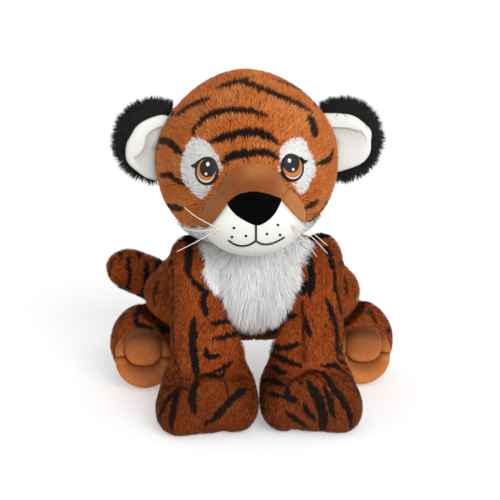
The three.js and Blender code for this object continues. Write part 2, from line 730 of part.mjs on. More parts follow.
function addTorso() {
  const group = addGroup(toy);
  const mouth = grownSolid([tinyBall(neckTop, evenRadii(NECK_MOUTH))], 0);
  const cover = grownSolid(torsoForms, 0).subtract(grownSolid(torsoForms, -FABRIC));
  const inside = grownSolid(torsoForms, -FABRIC - SEAM_GAP);
  addPiece(group, 'torso_cover', cover.subtract(mouth), orange);
  addPiece(group, 'torso_filling', inside.subtract(grownSolid([pouchForm()], SEAM_GAP)), stuffing);
  addPiece(group, 'pellet_pouch', inside.intersect(grownSolid([pouchForm()], 0)), pellets);
  addPiece(group, 'chest_bib', bibSolid(), white);
}

// Everything in front of the head's middle, inside an outline drawn in the head's own X and Z
function facePrism(points) {
  return solidOf(posed(prismForm(points, -OVERRUN, 0), headPose)());
}

// White part of the muzzle, below a line that falls from the nose's corners to its sides
function chinPrism(rise) {
  const sideX = SNOUT_HALF_WIDTH + BRIDGE_HALF_WIDTH;
  return facePrism([
    new THREE.Vector2(-CHIN_CORNER_SPREAD, rise - CHIN_CORNER_DROP),
    new THREE.Vector2(-SNOUT_HALF_WIDTH, rise - CHIN_SIDE_DROP),
    new THREE.Vector2(-sideX, rise - CHIN_SIDE_DROP),
    new THREE.Vector2(-sideX, -OVERRUN),
    new THREE.Vector2(sideX, -OVERRUN),
    new THREE.Vector2(sideX, rise - CHIN_SIDE_DROP),
    new THREE.Vector2(SNOUT_HALF_WIDTH, rise - CHIN_SIDE_DROP),
    new THREE.Vector2(CHIN_CORNER_SPREAD, rise - CHIN_CORNER_DROP),
  ]);
}

function addMuzzle(group, bodyRoom) {
  const skullRoom = grownSolid([skullForm], SEAM_GAP);
  const room = skullRoom.add(bodyRoom);
  const skin = grownSolid(muzzleForms, 0).subtract(grownSolid(muzzleForms, -PANEL)).subtract(room);
  addPiece(group, 'muzzle_chin', skin.intersect(chinPrism(0)), white);
  addPiece(group, 'muzzle_top', skin.subtract(chinPrism(SEAM_GAP)), tan);
  addPiece(group, 'muzzle_filling', grownSolid(muzzleForms, -PANEL - SEAM_GAP).subtract(room), stuffing);
  const nosePoints = mirroredPoints(NOSE_SIDE_SHARES, NOSE_HALF_WIDTH, -NOSE_HEIGHT, -NOSE_TOP_DROP);
  const nose = grownSolid(muzzleForms, SEAM_GAP + NOSE_THICKNESS)
    .intersect(facePrism(nosePoints))
    .subtract(grownSolid(muzzleForms, SEAM_GAP))
    .subtract(skullRoom);
  addPiece(group, 'nose', nose, black);
}

function addEye(group, side) {
  const muzzleRoom = grownSolid(muzzleForms, SEAM_GAP);
  const patchPoints = PATCH_SHARES.map((share) => new THREE.Vector2(
    side * (PATCH_SPREAD + share[0] * PATCH_HALF_WIDTH),
    PATCH_RISE + share[1] * PATCH_HALF_HEIGHT,
  ));
  const patch = grownSolid([skullForm], SEAM_GAP + PANEL)
    .subtract(grownSolid([skullForm], SEAM_GAP))
    .subtract(muzzleRoom)
    .intersect(facePrism(side === LEFT ? patchPoints.reverse() : patchPoints));
  addPiece(group, sideName('eye_patch', side), patch, white);
  const eyePoints = ellipsePoints(side * EYE_SPREAD, EYE_RISE, EYE_HALF_WIDTH, EYE_HALF_HEIGHT);
  const base = SEAM_GAP + PANEL + SEAM_GAP;
  const eye = grownSolid([skullForm], base + EYE_THICKNESS)
    .subtract(grownSolid([skullForm], base))
    .subtract(muzzleRoom)
    .intersect(facePrism(eyePoints));
  addPiece(group, sideName('eye', side), eye, black);
}

function addRuff(group, side, bodyRoom) {
  const edges = [0, side * HEAD_HALF_WIDTH].sort((low, high) => low - high);
  const band = facePrism(rectanglePoints(...edges, -RUFF_TOP - RUFF_DEPTH, -RUFF_TOP));
  const ruff = grownSolid([skullForm], SEAM_GAP + RUFF_THICKNESS)
    .subtract(grownSolid([skullForm], SEAM_GAP))
    .subtract(grownSolid(muzzleForms, SEAM_GAP))
    .subtract(bodyRoom)
    .intersect(band);
  addPiece(group, sideName('cheek_ruff', side), ruff, white);
}

// Three threads drawn through the muzzle at one knot
function addWhiskers(group, side) {
  const knotX = side * WHISKER_SPREAD;
  const knotSurface = 1 - (WHISKER_SPREAD / SNOUT_HALF_WIDTH) ** 2
    - ((WHISKER_DROP - SNOUT_DROP) / SNOUT_HALF_HEIGHT) ** 2;
  const knotY = -SNOUT_FRONT - SNOUT_HALF_DEPTH * Math.sqrt(knotSurface);
  const knot = new THREE.Vector3(knotX, knotY, -WHISKER_DROP);
  const section = new THREE.Shape(ellipsePoints(0, 0, WHISKER_RADIUS, WHISKER_RADIUS, WHISKER_SIDES));
  const threads = WHISKER_LIFT_SHARES.map((lift, index) => {
    const bow = WHISKER_BOW_SHARES[index];
    const middle = new THREE.Vector3(side / 2, WHISKER_SWEEP_SHARE / 2, lift / 2 - bow);
    const end = new THREE.Vector3(side, WHISKER_SWEEP_SHARE, lift);
    const path = new THREE.CatmullRomCurve3([
      knot,
      middle.multiplyScalar(WHISKER_REACH).add(knot),
      end.multiplyScalar(WHISKER_REACH).add(knot),
    ]);
    const options = { extrudePath: path, steps: WHISKER_STEPS, bevelEnabled: false };
    return solidOf(new THREE.ExtrudeGeometry(section, options).applyMatrix4(headPose));
  });
  const bead = grownSolid([posed(padBall(knot, evenRadii(WHISKER_KNOT)), headPose)], 0);
  const whiskers = joined([bead, ...threads]).subtract(grownSolid(muzzleForms, SEAM_GAP));
  addPiece(group, sideName('whiskers', side), whiskers, thread);
}

// Middle of an ear's seam. The head leans, so one ear is sewn on higher to keep them level.
function earSeam(side) {
  return new THREE.Vector3(side * EAR_ROOT_SPREAD, EAR_BACK, EAR_RISE - side * EAR_STEP);
}

// Ear: a leaning lens, hollowed in front, with a velour panel set in its black plush back
function addEar(headGroup, side) {
  const seam = earSeam(side);
  const earPose = headPose.clone().multiply(placed(seam)).multiply(turned(Y_AXIS, side * EAR_LEAN_DEG));
  const group = addGroup(headGroup, earPose);
  const middle = new THREE.Vector3(side * (EAR_SPREAD - EAR_ROOT_SPREAD), 0, 0);
  const radii = new THREE.Vector3(EAR_HALF_WIDTH, EAR_HALF_DEPTH, EAR_HALF_HEIGHT);
  const lens = solidOf(posed(ballForm(middle, radii, 2, OUTLINE_STEPS, SMALL_RINGS), earPose)(0));
  const dishCentre = middle.clone().sub(new THREE.Vector3(0, EAR_HALF_DEPTH, 0));
  const dishRadii = new THREE.Vector3(
    EAR_HALF_WIDTH * EAR_DISH_SHARE, EAR_DISH_DEPTH, EAR_HALF_HEIGHT * EAR_DISH_SHARE,
  );
  const dish = solidOf(posed(smallBall(dishCentre, dishRadii), earPose)(0));
  const joint = earJoint(side);
  const skullRoom = sweptSolid([skullForm], TURN_GAP, joint);
  const panelPrism = (growth) => solidOf(posed(prismForm(
    ellipsePoints(middle.x, 0, EAR_HALF_WIDTH - EAR_RIM + growth, EAR_HALF_HEIGHT - EAR_RIM + growth),
    -OVERRUN,
    growth - EAR_DISH_DEPTH * EAR_DISH_SHARE,
  ), earPose)());
  const front = lens.intersect(panelPrism(0)).subtract(dish).subtract(skullRoom);
  const back = lens.subtract(panelPrism(SEAM_GAP)).subtract(skullRoom);
  addPiece(group, sideName('ear_front', side), front, white);
  addPiece(group, sideName('ear_back', side), back, black);
}

function earJoint(side) {
  const seam = earSeam(side);
  const axis = Z_AXIS.clone()
    .applyMatrix4(turned(Y_AXIS, side * EAR_LEAN_DEG))
    .transformDirection(headPose)
    .multiplyScalar(-side);
  return { pivot: seam.applyMatrix4(headPose), axis, fromDegrees: -EAR_FOLD_DEG, toDegrees: EAR_FOLD_DEG };
}

function addHead() {
  const group = addGroup(toy, headPose);
  const torsoRoom = sweptSolid([chestForm], TURN_GAP, headJoint);
  const cover = grownSolid([skullForm], 0).subtract(grownSolid([skullForm], -FABRIC)).subtract(torsoRoom);
  addPiece(group, 'head_cover', cover, orange);
  addPiece(group, 'head_filling', grownSolid([skullForm], -FABRIC - SEAM_GAP).subtract(torsoRoom), stuffing);
  addMuzzle(group, torsoRoom);
  [LEFT, RIGHT].forEach((side) => {
    addEye(group, side);
    addRuff(group, side, torsoRoom);
    addWhiskers(group, side);
    addEar(group, side);
  });
}

// Stands the toy over the middle of its own outline on the floor
function centreOnFloor() {
  const box = new THREE.Box3().setFromObject(toy);
  const middle = box.getCenter(new THREE.Vector3());
  toy.position.set(-middle.x, -middle.y, 0);
}

addTorso();
addHead();
[LEFT, RIGHT].forEach(addFrontLeg);
[LEFT, RIGHT].forEach(addHindLeg);
addTail();
centreOnFloor();

export default toy;
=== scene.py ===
"""Plush tiger: stuffed skins, pile made of strands, stitched face, studio."""

import json
import math

import bpy
import numpy as np
from mathutils import Matrix, Vector


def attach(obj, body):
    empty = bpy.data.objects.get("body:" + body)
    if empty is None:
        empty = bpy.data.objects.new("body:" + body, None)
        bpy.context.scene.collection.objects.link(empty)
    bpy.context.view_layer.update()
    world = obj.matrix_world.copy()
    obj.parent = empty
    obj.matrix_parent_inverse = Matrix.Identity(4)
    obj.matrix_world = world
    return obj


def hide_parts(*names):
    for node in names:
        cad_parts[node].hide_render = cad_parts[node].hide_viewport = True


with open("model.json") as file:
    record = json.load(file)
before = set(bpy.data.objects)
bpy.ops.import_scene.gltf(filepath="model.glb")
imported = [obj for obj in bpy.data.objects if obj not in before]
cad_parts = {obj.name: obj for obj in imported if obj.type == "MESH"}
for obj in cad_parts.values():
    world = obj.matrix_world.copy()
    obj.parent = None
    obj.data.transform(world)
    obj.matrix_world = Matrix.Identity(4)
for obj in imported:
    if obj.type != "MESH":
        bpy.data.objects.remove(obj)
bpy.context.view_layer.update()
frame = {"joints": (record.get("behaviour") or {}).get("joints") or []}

# Shapes are worked out in millimetres in the toy's own frame, whose origin is on the floor
# below the middle of the back seam. The joint of the head gives that frame's place in the pack.
MM = 0.001
NECK = np.array((0.0, -16.0, 170.0))
NECK_IN_FRAME = next(j["pos_m"] for j in frame["joints"] if j["name"] == "head_turn")
ORIGIN = np.array(NECK_IN_FRAME) - NECK * MM
SIDES = {"left": -1, "right": 1}
X_AXIS, Y_AXIS, Z_AXIS = np.eye(3)

# Photograph: its size, and the camera that took it
PHOTO_SIZE = 500
FOCAL_PX = 1430.0
SENSOR_MM = 36.0
ELEVATION_DEG = 15.0
AZIMUTH_DEG = -2.9
DISTANCE = 1300.0
AIM = np.array((-3.6, 0.9, 136.0))

# Cloth and pile
SKIN_DEPTH = 3.0
SKIN_STEP = 2.0
FINE_STEP = 1.0
SEAM_GAP = 0.3
TURN_GAP = 0.8
BURIED = 1.2
FLOOR_GAP = 0.3
STRIPE_HEIGHT = -1.0
RIM_DEPTH = 8.0
NOISE_SEED = 11

# Torso
BELLY = (0, 28, 88), (100, 56, 42), 2.1
CHEST = (0, -16, 116), (56, 43, 54), 2.0
BACK = (0, 34, 106), (80, 48, 42), 2.0
HIDDEN_DEPTH = -8.0
TORSO_SOFT = 14.0

# Head and muzzle, in the head's own frame
HEAD_CENTRE = (-7.5, -20, 226)
HEAD_YAW_DEG = 1.0
HEAD_ROLL_DEG = 2.5
HEAD_TURN_DEG = 18.0
HEAD_HALF_WIDTH = 79.5
HEAD_HALF_DEPTH = 66.0
CROWN = 77.0, 1.8
JOWL = 76.0, 2.3
SNOUT = (0, -61, -40), (44, 38, 32), 2.0
BRIDGE = (0, -61, -17), (27, 29, 25), 2.0
MUZZLE_SOFT = 7.0
DART_DEPTH = 0.7
DART_HALF = 1.0
CHIN_LINE = ((-60, -48), (-44, -48), (-22.5, -21), (22.5, -21), (44, -48), (60, -48))
FUR_SOURCE = (0, -80, -22)

# Ears, in each ear's own frame
EAR_SEAM = 73, 12
EAR_RISE = 14.3
EAR_STEP = 3.5
EAR_LEAN_DEG = 10.0
EAR_MIDDLE = 13.3
EAR_RADII = 36.5, 7.0, 38.5
EAR_FOLD_DEG = 15.0
EAR_PILE = 4.5, 2.5, 5.5
EAR_TUCK = {"left": 6.5, "right": 0.5}

# Front legs
SHOULDER = 53, -30, 127.5
LEG_COLUMN = (
    (53, -30, 143.5, 24, 23), (48.5, -39.5, 127.5, 28.5, 25), (44, -49, 84, 33.5, 27),
    (44, -55, 42, 33, 28), (44, -55, 2.2, 31, 28),
)
SHOULDER_TOP = (58, -28, 138), (18, 22, 20), 2.0
LEG_SWING_DEG = -4, 25
PAW = (44, -70, 25.5), (42, 43, 26), 2.35
TOES_AT = -25, 0, 25
TOE = (44, -91, 19.5), (17, 24, 20), 2.0
KNUCKLE = (44, -92.5, 35), (17, 17, 17), 2.0
OUTER_TOE = (67, -87, 15), (20, 27, 15), 2.4
TOE_SOFT = 12.0
KNUCKLE_SOFT = 1.5
LEG_SOFT = 15.0

# Hind legs
HIP = 60, 52, 62
HIND_SPLAY_DEG = -4, 18
THIGH = (75, 50, 40.5), (37, 37, 41), 2.0
FOOT = (99, 34, 38), (35, 33, 38), 2.0
HIND_SOFT = 8.0

# Tail
TAIL_ROOT = 0, 75, 70
TAIL_SPINE = (
    (0, 58, 70, 17, 17), (-25.2, 97.6, 70, 21, 21), (-72, 120.2, 66, 21, 21),
    (-105, 113.6, 82, 21, 21), (-138, 107, 98, 19, 19),
)
TAIL_SWING_DEG = -4, 20
LIMB_CAP_SHARE = 0.16
LIMB_SAMPLES = 60
LIMB_BATCH = 40000

rng = np.random.default_rng(NOISE_SEED)


# Maths on points

def unit(vectors):
    return vectors / np.maximum(np.linalg.norm(vectors, axis=-1, keepdims=True), 1e-9)


def rotation(axis, degrees):
    return np.array(Matrix.Rotation(math.radians(degrees), 3, Vector(axis)))


def pose(origin, turn=None):
    made = np.eye(4)
    made[:3, :3] = np.eye(3) if turn is None else turn
    made[:3, 3] = origin
    return made


def moved(points, matrix):
    return points @ matrix[:3, :3].T + matrix[:3, 3]


def turn_about(pivot, axis, degrees):
    turn = rotation(axis, degrees)
    return pose(np.array(pivot) - turn @ np.array(pivot, float), turn)


def smooth_step(values, low, high):
    t = np.clip((values - low) / (high - low), 0, 1)
    return t * t * (3 - 2 * t)


HASH_X, HASH_Y, HASH_Z, HASH_MIX = 73856093, 19349663, 83492791, 1274126177
HASH_LEVELS = 9973
SEED_SHIFT = 31.7
CURVE_STEPS = 12


def noise(points, scale, seed=0):
    """Smooth value noise from 0 to 1, with blobs of the given size."""
    spots = points / scale + SEED_SHIFT * (seed + 1)
    cells = np.floor(spots).astype(np.int64)
    share = spots - cells
    share = share * share * (3 - 2 * share)
    total = np.zeros(len(points))
    for corner in range(8):
        offset = np.array((corner & 1, corner >> 1 & 1, corner >> 2 & 1))
        x, y, z = (cells + offset).T
        mixed = (x * HASH_X) ^ (y * HASH_Y) ^ (z * HASH_Z)
        mixed = ((mixed ^ (mixed >> 13)) * HASH_MIX) & 0x7FFFFFFF
        weight = np.where(offset == 1, share, 1 - share).prod(1)
        total += weight * (mixed % HASH_LEVELS) / HASH_LEVELS
    return total


def curve_through(points, count, closed=False):
    """Points spread evenly along a smooth curve through the given ones."""
    points = np.array(points, float)
    if closed:
        ends = np.concatenate((points[-1:], points, points[:2]))
    else:
        ends = np.concatenate((2 * points[:1] - points[1:2], points, 2 * points[-1:] - points[-2:-1]))
    t = np.linspace(0, 1, CURVE_STEPS, endpoint=False)[:, None]
    pieces = []
    for a, b, c, d in zip(ends, ends[1:], ends[2:], ends[3:]):
        pieces.append(b + t / 2 * (c - a + t * (2 * a - 5 * b + 4 * c - d + t * (3 * b - a - 3 * c + d))))
    dense = np.concatenate(pieces + [ends[-2:-1]])
    travel = np.concatenate(([0], np.linalg.norm(np.diff(dense, axis=0), axis=1).cumsum()))
    wanted = np.linspace(0, travel[-1], count, endpoint=not closed)
    return np.stack([np.interp(wanted, travel, column) for column in dense.T], 1)


# Fields: functions that give each point's distance outside a form, negative inside it

def ball(centre, radii, fullness=2.0):
    centre, radii = np.array(centre, float), np.array(radii, float)

    def field(points):
        spots = np.maximum(np.abs(points - centre) / radii, 1e-6)
        reach = (spots ** fullness).sum(1) ** (1 / fullness)
        slope = np.linalg.norm((spots / reach[:, None]) ** (fullness - 1) / radii, axis=1)
        return (reach - 1) / slope
    return field


def egg(half_width, half_depth, top, bottom):
    """Round from above. Its height and its fullness differ above and below its middle."""
    def field(points):
        x, y, z = points.T
        height = np.where(z > 0, top[0], bottom[0])
        fullness = np.where(z > 0, top[1], bottom[1])
        flat = np.maximum(np.hypot(x / half_width, y / half_depth), 1e-6)
        steep = np.maximum(np.abs(z) / height, 1e-6)
        reach = (flat ** fullness + steep ** fullness) ** (1 / fullness)
        across = np.hypot(x / half_width ** 2, y / half_depth ** 2) / flat
        level = (flat / reach) ** (fullness - 1) * across
        rise = (steep / reach) ** (fullness - 1) / height
        return (reach - 1) / np.hypot(level, rise)
    return field


def limb(stations, across=X_AXIS):
    """Stuffed limb along a spine of points with a half width and a half depth, round at both ends."""
    spine = curve_through(stations, LIMB_SAMPLES)
    cut = int(LIMB_SAMPLES * LIMB_CAP_SHARE)
    core = spine[cut:-cut]
    tangents = unit(np.gradient(core[:, :3], axis=0))
    depthways = unit(np.cross(tangents, across))
    sideways = np.cross(depthways, tangents)
    caps = np.linalg.norm(spine[0, :3] - core[0, :3]), np.linalg.norm(spine[-1, :3] - core[-1, :3])
    last = len(core) - 1

    def part_field(points):
        nearest = ((points[:, None] - core[None, :, :3]) ** 2).sum(2).argmin(1)
        gap = points - core[nearest, :3]
        side = (gap * sideways[nearest]).sum(1) / core[nearest, 3]
        depth = (gap * depthways[nearest]).sum(1) / core[nearest, 4]
        along = (gap * tangents[nearest]).sum(1)
        before = np.where(nearest == 0, np.minimum(along, 0) / caps[0], 0)
        after = np.where(nearest == last, np.maximum(along, 0) / caps[1], 0)
        reach = np.sqrt(side ** 2 + depth ** 2 + before ** 2 + after ** 2)
        return (reach - 1) * core[nearest, 3:].min(1)

    def field(points):
        parts = np.array_split(points, len(points) // LIMB_BATCH + 1)
        return np.concatenate([part_field(part) for part in parts])
    return field


def posed(field, matrix):
    back = np.linalg.inv(matrix)
    return lambda points: field(moved(points, back))


def soft_union(soft, *fields):
    def field(points):
        total = fields[0](points)
        for other in fields[1:]:
            near = other(points)
            blend = np.maximum(soft - np.abs(total - near), 0) / soft
            total = np.minimum(total, near) - blend * blend * soft / 4
        return total
    return field


def cut_by(field, *rooms, soft=2.0):
    """A form with its edges rounded where rooms, which are fields too, are taken out of it."""
    def cut(points):
        total = field(points)
        for room in rooms:
            wall = -room(points)
            blend = np.maximum(soft - np.abs(total - wall), 0) / soft
            total = np.maximum(total, wall) + blend * blend * soft / 4
        return total
    return cut


def grown(field, distance):
    return lambda points: field(points) - distance


def swept(field, pivot, axis, degrees, steps=4):
    """Room that a form takes, seen from a piece that turns beside it."""
    turns = [turn_about(pivot, axis, angle) for angle in np.linspace(*degrees, steps + 1)]
    return lambda points: np.min([field(moved(points, turn)) for turn in turns], axis=0)


def soft_dented(field, gap, depth, half):
    """A form with a rounded channel where a gap is small."""
    return lambda points: field(points) + depth * np.exp(-(gap(points) / half) ** 2)


def above_floor(field):
    return lambda points: np.maximum(field(points), FLOOR_GAP - points[:, 2])


def slope(field, points, step=0.4):
    sides = [(field(points + step * axis) - field(points - step * axis)) for axis in np.eye(3)]
    return unit(np.stack(sides, 1))


def settled(field, points, height=0.0, rounds=3):
    """Points moved onto a field's surface, or to a height above it."""
    for _ in range(rounds):
        points = points - slope(field, points) * (field(points) - height)[:, None]
    return points


# Forms of the toy

chest = ball(*CHEST)
torso = soft_union(TORSO_SOFT, ball(*BELLY), chest, ball(*BACK))
head_pose = pose(HEAD_CENTRE, rotation(Z_AXIS, HEAD_YAW_DEG) @ rotation(Y_AXIS, -HEAD_ROLL_DEG))
skull = posed(egg(HEAD_HALF_WIDTH, HEAD_HALF_DEPTH, CROWN, JOWL), head_pose)
muzzle_shape = soft_union(MUZZLE_SOFT, ball(*SNOUT), ball(*BRIDGE))
muzzle = posed(muzzle_shape, head_pose)
neck_room = swept(chest, NECK, Z_AXIS, (-HEAD_TURN_DEG, HEAD_TURN_DEG))


def mirrored(values, side):
    return (side * values[0], *values[1:])


def side_ball(spec, side, step=0):
    centre, radii, fullness = spec
    return ball((side * centre[0] + step, *centre[1:]), radii, fullness)


def front_leg(side):
    column = limb([mirrored(station, side) for station in LEG_COLUMN])
    wrist = soft_union(LEG_SOFT, column, side_ball(PAW, side), side_ball(SHOULDER_TOP, side))
    toed = soft_union(TOE_SOFT, wrist, *[side_ball(TOE, side, step) for step in TOES_AT],
                      side_ball(OUTER_TOE, side))
    return soft_union(KNUCKLE_SOFT, toed, side_ball(KNUCKLE, side))


FRONT_LEGS = {side: front_leg(sign) for side, sign in SIDES.items()}


def front_legs(points):
    """Distance from the nearer front leg."""
    return np.min([leg(points) for leg in FRONT_LEGS.values()], axis=0)


def leg_room(side):
    low, high = LEG_SWING_DEG
    return swept(torso, mirrored(SHOULDER, side), -X_AXIS, (-high, -low))


def hind_leg(side):
    return soft_union(HIND_SOFT, side_ball(FOOT, side), side_ball(THIGH, side))


def hind_room(side):
    low, high = HIND_SPLAY_DEG
    return swept(torso, mirrored(HIP, side), side * Z_AXIS, (-high, -low))


def ear_seam(side):
    return side * EAR_SEAM[0], EAR_SEAM[1], EAR_RISE - side * EAR_STEP


def ear_pose(side):
    return head_pose @ pose(ear_seam(side), rotation(Y_AXIS, side * EAR_LEAN_DEG))


def ear(side):
    """The ear's skin. Its pile makes up the rest of the ear's size."""
    sign = SIDES[side]
    middle = sign * (EAR_MIDDLE - EAR_TUCK[side])
    return posed(ball((middle, 0, 0), np.subtract(EAR_RADII, EAR_PILE)), ear_pose(sign))


tail = limb(TAIL_SPINE, Z_AXIS)
tail_room = swept(torso, TAIL_ROOT, -Z_AXIS, (-TAIL_SWING_DEG[1], -TAIL_SWING_DEG[0]))


# The photograph's rays

RIGHTWARD, FORWARD, UPWARD = (rotation(Z_AXIS, AZIMUTH_DEG) @ rotation(X_AXIS, -ELEVATION_DEG)).T
PHOTO_EYE = AIM - FORWARD * DISTANCE
CAST_LEAD = 260.0
CAST_STEPS = 70
CAST_CAUTION = 0.7
CAST_MOVES = 0.05, 12


def rays_of(pixels):
    """Directions in which the photograph's pixels look, one unit forward."""
    pixels = np.array(pixels, float)
    across = (pixels[:, :1] - PHOTO_SIZE / 2) / FOCAL_PX
    up = (PHOTO_SIZE / 2 - pixels[:, 1:2]) / FOCAL_PX
    return FORWARD + across * RIGHTWARD + up * UPWARD


def cast(pixels, field, height=0.0):
    """Points where the rays of photograph pixels meet a form, or pass it most nearly."""
    rays = unit(rays_of(pixels))
    travel = np.full(len(rays), DISTANCE - CAST_LEAD)
    best_travel, best = travel.copy(), np.full(len(rays), np.inf)
    for _ in range(CAST_STEPS):
        gap = field(PHOTO_EYE + rays * travel[:, None]) - height
        closer = np.abs(gap) < best
        best = np.where(closer, np.abs(gap), best)
        best_travel = np.where(closer, travel, best_travel)
        travel = travel + np.clip(gap, *CAST_MOVES) * CAST_CAUTION
    return settled(field, PHOTO_EYE + rays * best_travel[:, None], height)


def at_depth(pixels, depths):
    """Points of the rays of photograph pixels, at given values of y."""
    rays = rays_of(pixels)
    return PHOTO_EYE + rays * ((depths - PHOTO_EYE[1]) / rays[:, 1])[:, None]


# Meshes

CELL_CORNERS = np.array([(i & 1, i >> 1 & 1, i >> 2 & 1) for i in range(8)])
CELL_EDGES = [(a, b) for a in range(8) for b in range(a + 1, 8) if bin(a ^ b).count("1") == 1]


def skin_of(field, low, high, step=SKIN_STEP):
    """Closed mesh of quads over a field's surface."""
    low = np.array(low, float) - 2 * step
    counts = np.ceil((np.array(high) + 2 * step - low) / step).astype(int) + 1
    axes = [low[i] + step * np.arange(counts[i]) for i in range(3)]
    grid = np.stack(np.meshgrid(*axes, indexing="ij"), -1)
    values = field(grid.reshape(-1, 3)).reshape(counts)

    def at_corner(array, corner):
        return array[tuple(slice(o, n - 1 + o) for o, n in zip(CELL_CORNERS[corner], counts))]

    inside = values < 0
    total = sum(at_corner(inside, corner).astype(int) for corner in range(8))
    active = (total > 0) & (total < 8)
    ids = np.full(active.shape, -1)
    ids[active] = np.arange(active.sum())
    spots, hits = np.zeros((active.sum(), 3)), np.zeros((active.sum(), 1))
    for a, b in CELL_EDGES:
        near, far = at_corner(values, a)[active], at_corner(values, b)[active]
        crossing = (near < 0) != (far < 0)
        share = np.where(crossing, near / np.where(crossing, near - far, 1), 0)[:, None]
        spot = CELL_CORNERS[a] + share * (CELL_CORNERS[b] - CELL_CORNERS[a])
        spots += spot * crossing[:, None]
        hits += crossing[:, None]
    points = low + step * (np.argwhere(active) + spots / hits)
    faces = []
    for axis in range(3):
        ahead = np.take(inside, range(1, counts[axis]), axis)
        behind = np.take(inside, range(counts[axis] - 1), axis)
        ends = np.argwhere(ahead != behind)
        u, v = np.eye(3, dtype=int)[(axis + 1) % 3], np.eye(3, dtype=int)[(axis + 2) % 3]
        ring = [ids[tuple((ends - shift).T)] for shift in (0 * u, u, u + v, v)]
        quads = np.stack(ring, 1)
        outward = behind[tuple(ends.T)]
        faces.append(np.where(outward[:, None], quads, quads[:, ::-1]))
    for _ in range(2):
        points = points - slope(field, points) * np.clip(field(points), -step / 2, step / 2)[:, None]
    return points, np.concatenate(faces)


def new_object(name, points, faces, material, body, normals=None):
    """Object of one mesh, from toy points and rows of faces, that rides on a body."""
    mesh = bpy.data.meshes.new(name)
    rows = [np.asarray(group) for group in (faces if isinstance(faces, list) else [faces])]
    sizes = np.concatenate([np.full(len(group), group.shape[1]) for group in rows])
    corners = np.concatenate([group.ravel() for group in rows])
    mesh.vertices.add(len(points))
    mesh.vertices.foreach_set("co", (points * MM + ORIGIN).astype(np.float32).ravel())
    mesh.loops.add(len(corners))
    mesh.loops.foreach_set("vertex_index", corners.astype(np.int32))
    mesh.polygons.add(len(sizes))
    starts = np.concatenate(([0], sizes.cumsum()[:-1]))
    mesh.polygons.foreach_set("loop_start", starts.astype(np.int32))
    mesh.polygons.foreach_set("use_smooth", np.ones(len(sizes), bool))
    mesh.update(calc_edges=True)
    if normals is not None:
        mesh.normals_split_custom_set_from_vertices(normals)
    mesh.materials.append(material)
    made = bpy.data.objects.new(name, mesh)
    bpy.context.scene.collection.objects.link(made)
    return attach(made, body)


def set_values(made, **values):
    """Numbers on the points of a mesh, which its material reads."""
    for name, numbers in values.items():
        attribute = made.data.attributes.new(name, "FLOAT", "POINT")
        attribute.data.foreach_set("value", np.asarray(numbers, np.float32))


# Materials

def linear(code):
    """Linear colour of an sRGB hex code."""
    parts = [int(code[i:i + 2], 16) / 255 for i in (1, 3, 5)]
    return (*[p / 12.92 if p <= 0.04045 else ((p + 0.055) / 1.055) ** 2.4 for p in parts], 1.0)


def per_mm(size):
    """Texture scale whose blobs or bands measure so many millimetres."""
    return 1 / (size * MM)


def new_material(name, roughness, sheen=0.0, tint="#ffffff", specular=0.3):
    """Material, its node tree, its shader, and the place in the piece's own space that patterns use."""
    material = bpy.data.materials.new(name)
    material.use_nodes = True
    tree = material.node_tree
    shader = tree.nodes["Principled BSDF"]
    shader.inputs["Roughness"].default_value = roughness
    shader.inputs["Specular IOR Level"].default_value = specular
    shader.inputs["Sheen Weight"].default_value = sheen
    shader.inputs["Sheen Roughness"].default_value = 0.5
    shader.inputs["Sheen Tint"].default_value = linear(tint)
    return material, tree, shader, add_node(tree, "ShaderNodeTexCoord", {}, output="Object")


def add_node(tree, kind, inputs, settings=None, output=0):
    """Adds a node with its settings, sets or links its inputs, and gives one of its outputs."""
    node = tree.nodes.new(kind)
    for name, value in (settings or {}).items():
        setattr(node, name, value)
    for key, value in inputs.items():
        if isinstance(value, bpy.types.NodeSocket):
            tree.links.new(value, node.inputs[key])
        else:
            node.inputs[key].default_value = value
    return node.outputs[output]


MAP, MIX, MATHS, NOISE, VALUE, BUMP, WAVE = (
    "ShaderNodeMapRange", "ShaderNodeMix", "ShaderNodeMath", "ShaderNodeTexNoise", "ShaderNodeAttribute",
    "ShaderNodeBump", "ShaderNodeTexWave")
COLOURS = {"data_type": "RGBA"}
FACTOR, FIRST, SECOND, MIXED = 0, 6, 7, 2
LOW, HIGH, NEW_LOW, NEW_HIGH = 1, 2, 3, 4


def named(name):
    return {"attribute_name": name}


def finish_material(material, tree, shader, base, height, strength, distance_mm):
    tree.links.new(base, shader.inputs["Base Color"])
    bump = add_node(tree, BUMP, {"Height": height, "Strength": strength, "Distance": distance_mm * MM})
    tree.links.new(bump, shader.inputs["Normal"])
    return material


